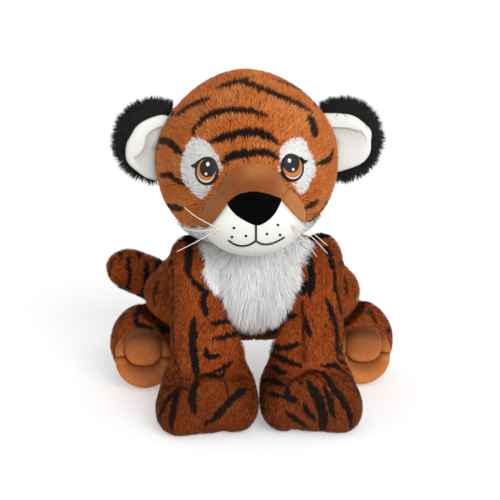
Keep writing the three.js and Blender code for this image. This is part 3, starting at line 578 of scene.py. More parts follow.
def printed_plush(name, deep, middle, light, stripe, sheen):
    """Knitted polyester plush with its stripes printed on. Matt strands are dark at the root, where
    little light gets in, and lighter at the tip, and patches lie brushed one way or another."""
    material, tree, shader, place = new_material(name, 0.85, sheen, "#ffb27a", 0.2)
    brushed = add_node(tree, NOISE, {"Vector": place, "Scale": per_mm(24), "Detail": 3.0})
    brushed = add_node(tree, MAP, {"Value": brushed, LOW: 0.35, HIGH: 0.65, NEW_LOW: -0.3, NEW_HIGH: 0.3})
    shade = add_node(tree, VALUE, {}, named("shade"), "Fac")
    shade = add_node(tree, MATHS, {0: shade, 1: brushed})
    tone = add_node(tree, MAP, {"Value": shade, LOW: 0.1, HIGH: 1.0})
    body = add_node(tree, MIX, {FACTOR: tone, FIRST: linear(middle), SECOND: linear(light)}, COLOURS, MIXED)
    depth = add_node(tree, VALUE, {}, named("along"), "Fac")
    depth = add_node(tree, MAP, {"Value": depth, LOW: 0.0, HIGH: 0.6})
    body = add_node(tree, MIX, {FACTOR: depth, FIRST: linear(deep), SECOND: body}, COLOURS, MIXED)
    dye = add_node(tree, MIX, {FACTOR: tone, FIRST: linear(stripe), SECOND: linear("#1e1917")},
                   COLOURS, MIXED)
    printed = add_node(tree, VALUE, {}, named("stripe"), "Fac")
    base = add_node(tree, MIX, {FACTOR: printed, FIRST: body, SECOND: dye}, COLOURS, MIXED)
    # Painted shade: seams, the torso under the legs and the lower paws are mixed toward dark brown.
    crease = add_node(tree, VALUE, {}, named("crease"), "Fac")
    base = add_node(tree, MIX, {FACTOR: crease, FIRST: base, SECOND: linear("#1c0a03")}, COLOURS, MIXED)
    grain = add_node(tree, NOISE, {"Vector": place, "Scale": per_mm(0.7), "Detail": 2.0})
    return finish_material(material, tree, shader, base, grain, 0.15, 0.3)


def long_pile(name, root, tip, sheen, tint):
    """Long-haired polyester fur fabric. Locks carry painted shade at the root and are lighter at the tip."""
    material, tree, shader, place = new_material(name, 0.8, sheen, tint)
    locks = add_node(tree, NOISE, {"Vector": place, "Scale": per_mm(16), "Detail": 3.0})
    locks = add_node(tree, MAP, {"Value": locks, LOW: 0.3, HIGH: 0.7, NEW_LOW: -0.2, NEW_HIGH: 0.2})
    shade = add_node(tree, VALUE, {}, named("shade"), "Fac")
    shade = add_node(tree, MATHS, {0: shade, 1: locks})
    shade = add_node(tree, MAP, {"Value": shade, LOW: -0.2, HIGH: 0.6, NEW_LOW: 0.6, NEW_HIGH: 1.0})
    depth = add_node(tree, VALUE, {}, named("along"), "Fac")
    depth = add_node(tree, MAP, {"Value": depth, LOW: 0.0, HIGH: 0.7})
    light = add_node(tree, MATHS, {0: depth, 1: shade}, {"operation": "MULTIPLY"})
    base = add_node(tree, MIX, {FACTOR: light, FIRST: linear(root), SECOND: linear(tip)}, COLOURS, MIXED)
    grain = add_node(tree, NOISE, {"Vector": place, "Scale": per_mm(0.7), "Detail": 2.0})
    return finish_material(material, tree, shader, base, grain, 0.15, 0.3)


def brushed_cloth(name, dark, light, hollow, nap_mm=1.6, roughness=0.85, sheen=0.25, tint="#ffffff",
                  specular=0.2):
    """Velour or microsuede: a short nap, brushed lighter and darker in patches, and painted shade in
    hollows.
    """
    material, tree, shader, place = new_material(name, roughness, sheen, tint, specular)
    patches = add_node(tree, NOISE, {"Vector": place, "Scale": per_mm(30), "Detail": 4.0})
    patches = add_node(tree, MAP, {"Value": patches, LOW: 0.3, HIGH: 0.7, NEW_LOW: 0.0, NEW_HIGH: 0.55})
    drawn = add_node(tree, "ShaderNodeMapping", {"Vector": place, "Scale": (1.0, 1.0, 0.45)})
    nap = add_node(tree, NOISE, {"Vector": drawn, "Scale": per_mm(nap_mm), "Detail": 3.0})
    strokes = add_node(tree, MAP, {"Value": nap, LOW: 0.3, HIGH: 0.7, NEW_LOW: 0.0, NEW_HIGH: 0.45})
    mottled = add_node(tree, MATHS, {0: patches, 1: strokes})
    base = add_node(tree, MIX, {FACTOR: mottled, FIRST: linear(dark), SECOND: linear(light)}, COLOURS, MIXED)
    # Painted shade: hollows, seams, folds and shaded sides are mixed toward the shade colour.
    crease = add_node(tree, VALUE, {}, named("crease"), "Fac")
    base = add_node(tree, MIX, {FACTOR: crease, FIRST: base, SECOND: linear(hollow)}, COLOURS, MIXED)
    return finish_material(material, tree, shader, base, nap, 0.35, 0.5)


def satin_thread(name, dark, light, thread_mm=0.5):
    """Viscose embroidery: threads side by side, drawn a little coarser than real, with a low shine."""
    material, tree, shader, place = new_material(name, 0.5, 0.0, "#ffffff", 0.35)
    wave = {"Vector": place, "Scale": per_mm(thread_mm) / (2 * math.pi), "Distortion": 1.2, "Detail": 1.0}
    threads = add_node(tree, WAVE, wave, {"bands_direction": "Z"}, "Fac")
    tone = add_node(tree, MAP, {"Value": threads, LOW: 0.0, HIGH: 1.0, NEW_LOW: 0.15, NEW_HIGH: 1.0})
    base = add_node(tree, MIX, {FACTOR: tone, FIRST: linear(dark), SECOND: linear(light)}, COLOURS, MIXED)
    return finish_material(material, tree, shader, base, threads, 0.4, 0.3)


orange_fur = printed_plush("orange_fur", "#843411", "#cf6826", "#e8914e", "#0b0807", 0.1)
# The backing under the pile is painted darker than the pile, as painted shade deep in the pile.
painted_shade_backing = printed_plush("painted_shade_backing", "#4c1c08", "#7c3812", "#8f4518", "#0b0807", 0.0)
# shaded_fur is the plush of orange_fur painted darker, as painted shade on the torso, legs and tail.
shaded_fur = printed_plush("shaded_fur", "#4e1805", "#9d400f", "#c26022", "#070504", 0.08)
white_pile = long_pile("white_pile", "#f0f1ef", "#fbfcfb", 0.5, "#ffffff")
white_nap = long_pile("white_nap", "#ededea", "#fbfbf9", 0.35, "#ffffff")
black_pile = long_pile("black_pile", "#020202", "#131315", 0.12, "#8090a0")
# The third colour of each brushed cloth is the painted shade that its hollows, seams and shaded parts take.
white_velour = brushed_cloth("white_velour", "#dddcd7", "#f0efea", "#a8a198")
white_felt = brushed_cloth("white_felt", "#d0d0cb", "#e8e9e5", "#a8a198", nap_mm=1.2)
black_velour = brushed_cloth("black_velour", "#010101", "#040404", "#010101", nap_mm=1.1, roughness=0.95,
                             sheen=0.0, tint="#a0a8b8", specular=0.05)
tan_suede = brushed_cloth("tan_suede", "#9b5722", "#c6854c", "#6e2f0e", nap_mm=1.4, tint="#ffd0a0")
tan_velour = brushed_cloth("tan_velour", "#b9602a", "#e4924e", "#3c1404", nap_mm=1.1, roughness=0.75,
                           sheen=0.2, tint="#ffb070")
black_stitch = satin_thread("black_stitch", "#020203", "#0a0a0c")
white_stitch = satin_thread("white_stitch", "#d9d8d2", "#f4f3ef")
orange_stitch = satin_thread("orange_stitch", "#a4530f", "#d9883a")
ivory_thread = satin_thread("ivory_thread", "#d8cdbd", "#f4ebdc", 0.35)


# Pile

LEAN_SWIRL = 2.4
LEAN_FRAY = 0.5
BLADE_TWIST = 0.25
SIZE_LEAST = 0.8
SIZE_SPREAD = 0.4
BEND = 1.4
BLADE_TAPER = 0.55
LIT_LEAN = 0.25
LIT_SCATTER = 0.22
CUT_SOFT = 3.0
FLOOR_MARGIN = 0.6
SHOWN_SHARE = 0.6


def roots_on(points, faces, density):
    """Places spread evenly over a mesh, so many to the square millimetre."""
    triangles = np.concatenate((faces[:, [0, 1, 2]], faces[:, [0, 2, 3]]))
    a, b, c = (points[triangles[:, i]] for i in range(3))
    areas = np.linalg.norm(np.cross(b - a, c - a), axis=1) / 2
    count = int(areas.sum() * density)
    chosen = rng.choice(len(triangles), count, p=areas / areas.sum())
    u, v = rng.random((2, count, 1))
    folded = u + v > 1
    u, v = np.where(folded, 1 - u, u), np.where(folded, 1 - v, v)
    return a[chosen] + u * (b - a)[chosen] + v * (c - a)[chosen]


def strands(name, roots, normals, flow, material, body, *, rise, reach, width=0.7, steps=2, clump=6.0,
            unrest=0.36, stripe=None, crease=None):
    """Pile: each strand is a thin blade that stands up from its root and leans along the flow."""
    count = len(roots)
    stripe = np.zeros(count) if stripe is None else stripe
    crease = np.zeros(count) if crease is None else crease
    order = np.lexsort((noise(roots, 20.0, 5), stripe > 0.5))
    rise = np.broadcast_to(rise, count)[order][:, None]
    roots, normals, flow, stripe, crease = (rows[order] for rows in (roots, normals, flow, stripe, crease))
    swirl = np.stack([noise(roots, clump, seed) - 0.5 for seed in (1, 2, 3)], 1)
    lean = flow + unrest * (LEAN_SWIRL * swirl + LEAN_FRAY * rng.normal(size=(count, 3)))
    lean = unit(lean - normals * (lean * normals).sum(1, keepdims=True))
    sideways = unit(np.cross(lean, normals) + BLADE_TWIST * rng.normal(size=(count, 3)))
    size = SIZE_LEAST + SIZE_SPREAD * rng.random((count, 1))
    ranks = []
    for step in range(steps + 1):
        share = step / steps
        middle = roots + normals * rise * size * share * (2 - share) + lean * reach * size * share ** BEND
        middle[:, 2] = np.maximum(middle[:, 2], FLOOR_GAP)
        half = sideways * width / 2 * (1 - BLADE_TAPER * share)
        ranks += [middle] if step == steps else [middle - half, middle + half]
    per_strand = 2 * steps + 1
    points = np.stack(ranks, 1).reshape(-1, 3)
    first = np.arange(count) * per_strand
    quads = [first[:, None] + np.array((2 * s, 2 * s + 1, 2 * s + 3, 2 * s + 2)) for s in range(steps - 1)]
    tips = first[:, None] + np.array((2 * steps - 2, 2 * steps - 1, 2 * steps))
    lit = unit(normals + LIT_LEAN * lean + LIT_SCATTER * rng.normal(size=(count, 3)))
    made = new_object(name, points, quads + [tips], material, body, np.repeat(lit, per_strand, 0))
    along = np.array([s / steps for s in range(steps) for _ in range(2)] + [1.0])
    set_values(made, stripe=np.repeat(stripe, per_strand), shade=np.repeat(rng.random(count), per_strand),
               along=np.tile(along, count), crease=np.repeat(crease, per_strand))
    lay_out(made, count, steps)
    return made


def lay_out(made, count, steps):
    """Texture map of a pile: a small cell of its own for each strand."""
    columns = math.ceil(math.sqrt(count))
    strand = np.arange(count)
    corner = np.stack((strand % columns, strand // columns), 1) / columns
    shares = [(0.15 + 0.7 * side, 0.1 + 0.8 * s / steps) for s in range(steps) for side in (0, 1)]
    shares.append((0.5, 0.9))
    spots = (corner[:, None] + np.array(shares)[None] / columns).reshape(-1, 2)
    owners = np.zeros(len(made.data.loops), np.int32)
    made.data.loops.foreach_get("vertex_index", owners)
    layer = made.data.uv_layers.new(name="OFBake")
    layer.data.foreach_set("uv", spots[owners].astype(np.float32).ravel())


def along_surface(directions, normals):
    return unit(directions - normals * (directions * normals).sum(1, keepdims=True))


def no_crease(points):
    return np.zeros(len(points))


def plush(name, form, rooms, grid, body, flow, stripe, *, nodes, bare=(), density=1.0, rise=4.0,
          reach=5.0, crease=no_crease, pile=shaded_fur):
    """A stuffed skin and the pile that grows on it. Pile stays off what bare forms cover, and off the deep
    of the cuts that rooms make."""
    cut = cut_by(grown(form, -SKIN_DEPTH), *[grown(room, TURN_GAP + SKIN_DEPTH) for room in rooms],
                 soft=CUT_SOFT)
    points, faces = skin_of(above_floor(cut), *grid)
    # The skin shows between the strands, painted darker as painted shade deep in the pile.
    skin = new_object(name + "_plush", points, faces, painted_shade_backing, body)
    raised = settled(form, points, STRIPE_HEIGHT, 2)
    set_values(skin, stripe=stripe(raised), shade=noise(points, 5.0), along=np.full(len(points), 0.6),
               crease=crease(points))
    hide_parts(*nodes)
    roots = roots_on(points, faces, density)
    kept = roots[:, 2] > FLOOR_GAP + FLOOR_MARGIN
    for room in rooms:
        kept &= (room(roots) > TURN_GAP + SKIN_DEPTH + BURIED) | (form(roots) > -SKIN_DEPTH - RIM_DEPTH)
    for cover in bare:
        kept &= ~cover(roots)
    roots = settled(cut, roots[kept], 0.0, 2)
    normals = slope(cut, roots)
    directions = along_surface(flow(roots), normals)
    shown = roots + normals * (SKIN_DEPTH + STRIPE_HEIGHT) + directions * reach * SHOWN_SHARE
    made = strands(name + "_fur", roots, normals, directions, pile, body, rise=rise, reach=reach,
                   stripe=stripe(shown), crease=crease(roots))
    return points, faces


# Stripes: rows of a half width in millimetres, and the pixels that the stripe runs through

GAP_BATCH = 4000
STRIPE_SAMPLES = 40
SEAM_SAMPLES = 60
TIP_STEEPNESS = 3.2
TIP_START = 0.12
TIP_LEAST = 0.25
RAGGED_MM = 2.6


def gap_to(line, reach=0.0):
    """Function that gives each point's distance from the nearest point of a line, less its reach there."""
    def gap(points):
        rows = [np.zeros(0)]
        for part in np.array_split(points, len(points) // GAP_BATCH + 1):
            if len(part):
                rows.append((np.linalg.norm(part[:, None] - line[None], axis=2) - reach).min(1))
        return np.concatenate(rows)
    return gap


def dyed(form, rows, width_scale=1.0, ragged=1.3):
    """Function that says how much stripe dye each point of a form carries."""
    spine, halves = [], []
    for half, pixels in rows:
        spine.append(curve_through(cast(pixels, grown(form, STRIPE_HEIGHT)), STRIPE_SAMPLES))
        share = np.linspace(0, 1, STRIPE_SAMPLES)
        fullness = TIP_STEEPNESS * np.minimum(share + TIP_START, 1 + TIP_START - share)
        halves.append(width_scale * half * np.clip(fullness, TIP_LEAST, 1))
    gap = gap_to(np.concatenate(spine), np.concatenate(halves))

    def dye(points):
        edge = ragged * 2 * (noise(points, RAGGED_MM, 7) - 0.5)
        return smooth_step(-gap(points) - edge, -0.5, 0.5)
    return dye


def seam(form, *rows, half=0.9, strength=0.8):
    """Function that gives the painted shade of a seam's valley, along rows of pixels, at each point of a
    skin.
    """
    lines = [curve_through(cast(row, grown(form, -SKIN_DEPTH)), SEAM_SAMPLES) for row in rows]
    gap = gap_to(np.concatenate(lines))
    return lambda points: strength * np.exp(-(gap(points) / half) ** 2)


def valleys(lumps, half=0.9, strength=0.7):
    """Painted shade for the creases where lumps of stuffing meet: the deeper a point lies in one, the
    darker.
    """
    def crease(points):
        nearest, second = np.sort([lump(points) for lump in lumps], axis=0)[:2]
        return strength * np.exp(-((second - nearest) / half) ** 2)
    return crease


def bands(value, period, half, taper):
    """Repeated stripes along a value, drawn out to a point where the taper falls to nothing."""
    offset = np.abs((value / period) % 1 - 0.5) * period
    return smooth_step(half * np.clip(taper, 0, 1) - offset, -0.5, 0.5) * (taper > 0)


def most(*dyes):
    return lambda points: np.max([dye(points) for dye in dyes], axis=0)


HEAD_STRIPES = (
    (2.6, ((222, 73), (201, 81), (182, 94))), (2.8, ((217, 89), (234, 83), (251, 79))),
    (3.2, ((232, 83), (253, 86), (276, 95), (301, 106), (312, 113))),
    (4.6, ((308, 117), (313, 126), (313, 136))), (2.8, ((273, 80), (287, 85), (301, 92), (312, 100))),
    (3.0, ((209, 99), (192, 106), (176, 117))),
    (3.0, ((193, 134), (198, 125), (211, 115), (230, 110), (249, 111), (267, 116))),
    (3.3, ((209, 143), (222, 138), (240, 133), (257, 132), (268, 136), (279, 144))),
    (3.2, ((222, 163), (232, 156), (245, 153), (261, 152), (272, 155), (279, 159))),
    (3.2, ((158, 140), (169, 142), (176, 148), (185, 155))),
    (2.6, ((161, 175), (171, 175), (178, 180), (186, 184))), (2.0, ((156, 160), (156, 164))),
    (2.0, ((155, 177), (156, 182))), (3.2, ((166, 206), (175, 207), (184, 208))),
    (1.8, ((186, 226), (199, 225))), (2.6, ((332, 150), (329, 158), (316, 164))),
    (3.2, ((305, 206), (317, 202))), (2.4, ((307, 220), (314, 216), (322, 207), (331, 200))),
)
FRONT_LEG_STRIPES = {
    "left": (
        (3.6, ((191, 240), (189, 252), (188, 265), (189, 278))),
        (2.6, ((192, 279), (200, 288), (209, 292))), (2.8, ((206, 291), (203, 302), (207, 316))),
        (3.8, ((194, 317), (193, 335), (193, 350), (195, 364), (197, 380))),
        (2.4, ((209, 325), (222, 322), (238, 321))), (2.4, ((212, 339), (226, 337), (240, 331))),
        (2.8, ((206, 348), (207, 356), (219, 356))),
        (2.4, ((200, 377), (212, 373), (222, 369), (232, 362))),
        (2.0, ((206, 378), (219, 377), (227, 369))),
        (3.4, ((204, 424), (217, 416), (228, 404), (240, 393), (256, 387))),
        (2.4, ((186, 389), (175, 392), (166, 402), (162, 412), (162, 426))),
        (3.2, ((180, 390), (175, 402), (173, 414), (172, 430))),
        (3.2, ((196, 381), (193, 392), (193, 402), (195, 414))),
        (1.8, ((174, 250), (173, 275), (173, 310), (174, 340), (175, 360), (179, 371), (171, 378),
               (168, 388))),
    ),
    "right": (
        (3.4, ((304, 246), (308, 256), (311, 268), (312, 280), (310, 298))),
        (3.8, ((311, 282), (305, 287), (300, 294))), (3.4, ((326, 246), (330, 258), (334, 270))),
        (2.4, ((334, 270), (335, 285), (338, 300), (341, 316))),
        (3.0, ((326, 298), (330, 308), (334, 320), (337, 334), (337, 350), (338, 361))),
        (2.4, ((338, 361), (345, 363), (350, 368))), (2.0, ((341, 344), (340, 356))),
        (2.4, ((305, 318), (308, 328), (311, 338))), (2.8, ((272, 324), (284, 319), (298, 315))),
        (3.0, ((269, 344), (280, 348), (290, 347), (301, 343))),
        (3.0, ((269, 350), (280, 358), (291, 363), (303, 366))),
        (3.4, ((271, 366), (279, 371), (287, 374))), (3.2, ((263, 381), (275, 382), (286, 387))),
        (2.6, ((260, 394), (275, 395), (286, 398))), (3.0, ((286, 388), (289, 398), (297, 401))),
        (2.4, ((286, 413), (296, 420), (306, 425))),
        (3.2, ((303, 371), (322, 374), (333, 387), (343, 402), (350, 415), (350, 427))),
        (3.0, ((321, 366), (337, 367), (348, 376), (355, 388), (359, 400))),
        (4.4, ((307, 381), (314, 391), (320, 405), (323, 418), (322, 434))),
        (2.4, ((323, 384), (328, 396), (331, 408), (335, 418))),
        (2.4, ((304, 404), (309, 414), (316, 420))),
    ),
}
LEG_CREASES_PX = {
    "left": (
        ((199, 386), (204, 378), (212, 375), (220, 378), (226, 385), (228, 394), (226, 404), (220, 411)),
        ((178, 371), (172, 375), (168, 381), (168, 388)), ((168, 388), (180, 387), (189, 389)),
        ((189, 390), (190, 400), (191, 410)), ((203, 418), (204, 431)),
    ),
    "right": (
        ((302, 300), (303, 328), (304, 355), (304, 376)), ((287, 391), (290, 383), (296, 380), (303, 383)),
        ((285, 411), (295, 418), (307, 424)), ((331, 392), (333, 410), (336, 430)),
    ),
}
FLANK_STRIPES = (
    (2.8, ((159, 267), (155, 276))), (3.0, ((160, 281), (156, 292), (156, 307))),
    (2.8, ((339, 271), (346, 287), (346, 295))), (2.0, ((353, 293), (354, 298))),
)
HIND_STRIPES = {
    "left": ((2.6, ((139, 308), (136, 316), (137, 324), (153, 329))), (2.2, ((119, 319), (124, 316))),
             (2.6, ((157, 319), (163, 336)))),
    "right": ((2.6, ((368, 309), (376, 324))), (2.4, ((385, 331), (393, 330))),
              (2.4, ((372, 376), (376, 370)))),
}
TAIL_STRIPES = (
    (2.0, ((114, 258), (111, 267), (110, 275))),
    (2.6, ((130, 253), (128, 266), (130, 276), (128, 289), (131, 299))),
    (3.4, ((146, 262), (146, 273), (146, 287), (143, 298))),
)


# Main plush bodies

def torso_dye():
    def sides(points):
        x, y, z = points.T
        warp = 5 * (noise(points, 18.0, 3) - 0.5)
        height = z - 0.12 * np.abs(x) + warp
        return bands(height, 23.0, 3.4, smooth_step(y, 6, 40) * (1.25 - np.abs(x) / 95))
    return most(dyed(torso, FLANK_STRIPES), sides)


def head_dye():
    inverse = np.linalg.inv(head_pose)

    def back(points):
        x, y, z = moved(points, inverse).T
        warp = 6 * (noise(points, 20.0, 4) - 0.5)
        height = z + 0.15 * np.abs(x) + warp
        middle = bands(height, 26.0, 3.3, smooth_step(y, 12, 40) * (1.2 - np.abs(x) / 62))
        cheeks = bands(height + 13, 26.0, 2.8, smooth_step(np.abs(x), 48, 66) * smooth_step(y, -16, 4))
        return np.maximum(middle, cheeks)
    return most(dyed(skull, HEAD_STRIPES, width_scale=1.1, ragged=0.8), back)


def leg_dye(side, form):
    middle_x = SIDES[side] * LEG_COLUMN[2][0]

    def back(points):
        x, y, z = points.T
        warp = 5 * (noise(points, 16.0, 5) - 0.5)
        outward = (x - middle_x) * SIDES[side]
        rear = smooth_step(y, -52, -34) * (1.2 - np.abs(outward) / 40)
        outer = smooth_step(outward, 18, 27) * smooth_step(y, -52, -38)
        return np.maximum(bands(z + warp, 24.0, 3.0, rear), bands(z + 0.3 * y + warp + 9, 24.0, 2.6, outer))
    return most(dyed(form, FRONT_LEG_STRIPES[side], ragged=0.9), back)


def hind_dye(side, form):
    def back(points):
        x, y, z = points.T
        warp = 5 * (noise(points, 16.0, 6) - 0.5)
        around = np.hypot(y - FOOT[0][1], z - FOOT[0][2]) + warp
        return bands(around * 0.25 + x * SIDES[side] + warp, 22.0, 3.0, smooth_step(y, 28, 46))
    return most(dyed(form, HIND_STRIPES[side]), back)


def tail_dye():
    def rings(points):
        x = points[:, 0] + 4 * (noise(points, 14.0, 8) - 0.5)
        behind = smooth_step(points[:, 1], 96, 108)
        near = smooth_step(x, -104, -96)
        return bands(x + 3, 19.0, 3.2, np.maximum(behind, near))
    return most(dyed(tail, TAIL_STRIPES), rings)


def falling(sideways, forward):
    """Directions that lead down and forward, with the given parts to the side."""
    directions = np.tile((0.0, -forward, -1.0), (len(sideways), 1))
    directions[:, 0] = sideways
    return directions


def downward(points, forward=0.0, outward=0.25):
    return falling(outward * np.sign(points[:, 0]), forward)


def from_face(points):
    return points - moved(np.array([FUR_SOURCE], float), head_pose)


TORSO_GRID = (-104, -62, 40), (104, 92, 174)
HEAD_GRID = (-92, -90, 144), (82, 50, 306)
FRONT_LEG_GRID = (0, -118, 0), (90, 4, 164)
HIND_LEG_GRID = (30, -2, 0), (138, 92, 84)
TAIL_GRID = (-160, 40, 42), (4, 146, 122)


def on_side(sign, grid):
    """Grid box of a right piece, or its mirror image for a left one."""
    edges = sorted((sign * grid[0][0], sign * grid[1][0]))
    return (edges[0], *grid[0][1:]), (edges[1], *grid[1][1:])


def make_torso(bare):
    def under_legs(points):
        """The pile is shaded where a leg is pressed on it."""
        return 0.85 * smooth_step(-front_legs(points), -15, 0)

    plush("torso", torso, [], TORSO_GRID, "torso", downward, torso_dye(), bare=bare,
          nodes=("torso_cover", "torso_filling", "pellet_pouch"), crease=under_legs)


def make_head(bare):
    return plush("head", skull, [neck_room], HEAD_GRID, "head", from_face, head_dye(), bare=bare,
                 nodes=("head_cover", "head_filling"), density=1.4, rise=3.6, reach=4.2,
                 pile=orange_fur)


def make_front_leg(side, bib):
    form, body = FRONT_LEGS[side], f"front_leg_{side}"
    seams = seam(form, *LEG_CREASES_PX[side], half=1.5, strength=1.0)

    def shaded(points):
        """Painted shade: the valleys of the seams are dark, and a paw darkens towards the floor."""
        return np.maximum(seams(points), 0.4 * smooth_step(-points[:, 2], -62, -28))

    def under_bib(points):
        """The bib's edge lies on the front of the leg, and not behind the neck."""
        return bib(points) & (slope(form, points) @ FORWARD < 0)

    points, faces = plush(
        body, form, [leg_room(SIDES[side])], on_side(SIDES[side], FRONT_LEG_GRID), body,
        lambda points: downward(points, 0.5), leg_dye(side, form), bare=[under_bib],
        nodes=(f"front_leg_cover_{side}", f"front_leg_filling_{side}"), density=1.5, rise=3.2,
        reach=3.6, crease=shaded)
    roots = roots_on(points, faces, 2.6)
    roots = roots[under_bib(roots) & (skull(roots) > 0.0) & (muzzle(roots) > 1.0)]
    normals = slope(form, roots)
    flow = along_surface(downward(roots, 0.4, 0.5), normals)
    made = strands(f"bib_edge_{side}", roots, normals, flow, white_pile, body, rise=4.4, reach=9.0,
                   width=0.6, steps=3, unrest=0.34)


def make_hind_leg(side, bare):
    form = hind_leg(SIDES[side])
    plush(f"hind_leg_{side}", form, [hind_room(SIDES[side])], on_side(SIDES[side], HIND_LEG_GRID),
          f"hind_leg_{side}", lambda points: downward(points, 0.5, 0.5), hind_dye(side, form), bare=bare,
          nodes=(f"hind_leg_cover_{side}", f"hind_leg_filling_{side}"), density=1.3, rise=3.2,
          reach=3.8)


def make_tail():
    plush("tail", tail, [tail_room], TAIL_GRID, "tail",
          lambda points: np.tile((-1.0, 0.0, 0.25), (len(points), 1)), tail_dye(),
          nodes=("tail_cover", "tail_filling"), density=1.3, rise=3.6, reach=4.4)


# Panels that lie on a form, drawn over the photograph

def panel_points(outline, form, rings, count, seen):
    """Points of a panel on a form, from its middle out to its outline in pixels, and those pixels. Where
    only a part of the form is seen, the rays are cast on that part."""
    edge = curve_through(outline, count, True)
    middle = edge.mean(0)
    shares = np.sqrt(np.linspace(0, 1, rings + 1)[1:])
    pixels = np.concatenate([[middle]] + [middle + share * (edge - middle) for share in shares])
    points = cast(pixels, form) if seen is None else settled(form, cast(pixels, seen))
    return points, shares, pixels


def ring_faces(rings, count):
    """Quads between the rings of a panel, and the triangles round its middle."""
    turn = np.arange(count)
    after = np.roll(turn, -1)
    quads = []
    for ring in range(rings - 1):
        inner, outer = 1 + ring * count, 1 + (ring + 1) * count
        quads.append(np.stack((inner + turn, outer + turn, outer + after, inner + after), 1))
    return quads, np.stack((np.zeros(count, int), 1 + turn, 1 + after), 1)


def panel(name, outline, form, material, body, *, top, bottom, puff, rings, count, folds=None, seen=None):
    """Closed panel with a rounded edge, from a depth below a form's surface to a height above it."""
    base, shares, pixels = panel_points(outline, form, rings, count, seen)
    normals = slope(form, base)
    share = np.concatenate([[0]] + [np.full(count, s) for s in shares])
    drop = np.zeros(len(base)) if folds is None else folds(pixels) * (1 - share ** 6)
    height = np.maximum(bottom + (top - bottom) * (1 - share ** puff) ** 0.5 - drop, bottom)[:, None]
    points = np.concatenate((base + normals * height, base + normals * bottom))
    half = len(base)
    quads, middle = ring_faces(rings, count)
    groups = [group for quad in quads for group in (quad, quad[:, ::-1] + half)]
    rim = 1 + (rings - 1) * count + np.arange(count)
    after = np.roll(rim, -1)
    groups += [np.stack((rim, rim + half, after + half, after), 1), middle, middle[:, ::-1] + half]
    if np.cross(points[2] - points[0], points[1] - points[0]) @ FORWARD <= 0:
        groups = [group[:, ::-1] for group in groups]
    made = new_object(name, points, groups, material, body)
    # Painted shade: where a panel drops behind a fold, it is painted darker.
    set_values(made, crease=np.tile(np.clip(drop / 4, 0, 1), 2))
    return made


def within(pixels, edge):
    """True for the pixels that a closed outline surrounds."""
    inside = np.zeros(len(pixels), bool)
    x, y = pixels.T
    for (x1, y1), (x2, y2) in zip(edge, np.roll(edge, -1, 0)):
        if y1 != y2:
            inside ^= ((y1 > y) != (y2 > y)) & (x < (x2 - x1) * (y - y1) / (y2 - y1) + x1)
    return inside


def inside_outline(outline, margin=0.0, front=None):
    """Function that says which points lie within a pixel outline, as the photograph sees them."""
    edge = curve_through(outline, 90, True)
    middle = edge.mean(0)
    edge = middle + (edge - middle) * (1 + margin)

    def covers(points):
        rays = points - PHOTO_EYE
        far = rays @ FORWARD
        pixels = np.stack((rays @ RIGHTWARD / far * FOCAL_PX + PHOTO_SIZE / 2,
                           PHOTO_SIZE / 2 - rays @ UPWARD / far * FOCAL_PX), 1)
        return within(pixels, edge) & (points[:, 1] < (np.inf if front is None else front))
    return covers


THREAD_SAMPLES = 24
ASKEW = 0.31, 0.87, 0.38


def tube(name, lines, radius, material, body, sides=6, taper=1.0):
    """Threads along lines of toy points, closed at both ends."""
    points, quads, caps = [], [], []
    start = 0
    for line in lines:
        tangents = unit(np.gradient(line, axis=0))
        across = unit(np.cross(tangents, ASKEW))
        upward = np.cross(across, tangents)
        sizes = radius * (1 - (1 - taper) * np.linspace(0, 1, len(line)))
        place = np.arange(len(line))
        sizes = sizes * np.clip(np.minimum(place, place[::-1]) * 0.7 + 0.4, 0, 1)
        for side in range(sides):
            angle = 2 * math.pi * side / sides
            points.append(line + (across * math.cos(angle) + upward * math.sin(angle)) * sizes[:, None])
        step = np.arange(len(line) - 1)
        for side in range(sides):
            a, b = start + side * len(line) + step, start + (side + 1) % sides * len(line) + step
            quads.append(np.stack((a, a + 1, b + 1, b), 1))
        ring = start + np.arange(sides) * len(line)
        caps += [ring[None], (ring + len(line) - 1)[None, ::-1]]
        start += sides * len(line)
    return new_object(name, np.concatenate(points), quads + caps, material, body)


# Face

PATCH_PX = {
    "left": ((197, 138), (207, 143), (215, 151), (220, 161), (223, 169), (215, 183), (204, 198), (191, 189),
             (184, 178), (183, 165), (185, 154), (191, 142)),
    "right": ((299, 139), (289, 141), (280, 149), (279, 164), (277, 170), (288, 180), (298, 193), (304, 191),
              (309, 181), (314, 171), (311, 158), (306, 148), (304, 143)),
}
NOSE_PX = ((227, 204), (233, 197), (241, 193), (254, 191), (267, 193), (276, 196), (282, 199),
           (279, 208), (273, 217), (264, 224), (256, 226), (246, 222), (235, 215))
DARTS_PX = (
    ((221.5, 168), (220, 184), (222.5, 196), (228, 204)),
    ((288, 178), (289, 186), (286, 193), (281, 199)),
)
PHILTRUM_PX = (256, 225), (256, 233), (256, 241)
MOUTH_PX = (
    ((228, 240), (234, 244), (241, 246), (249, 245), (256, 241)),
    ((256, 241), (262, 244), (270, 244), (278, 241), (285, 237)),
)
DOTS_PX = (234, 228), (246, 236), (232, 237), (278, 225), (267, 234), (280, 235)
DOT_HALF_PX = 1.7, 1.5
STITCH_LIFT = 0.35
STITCH_RADIUS = 0.9
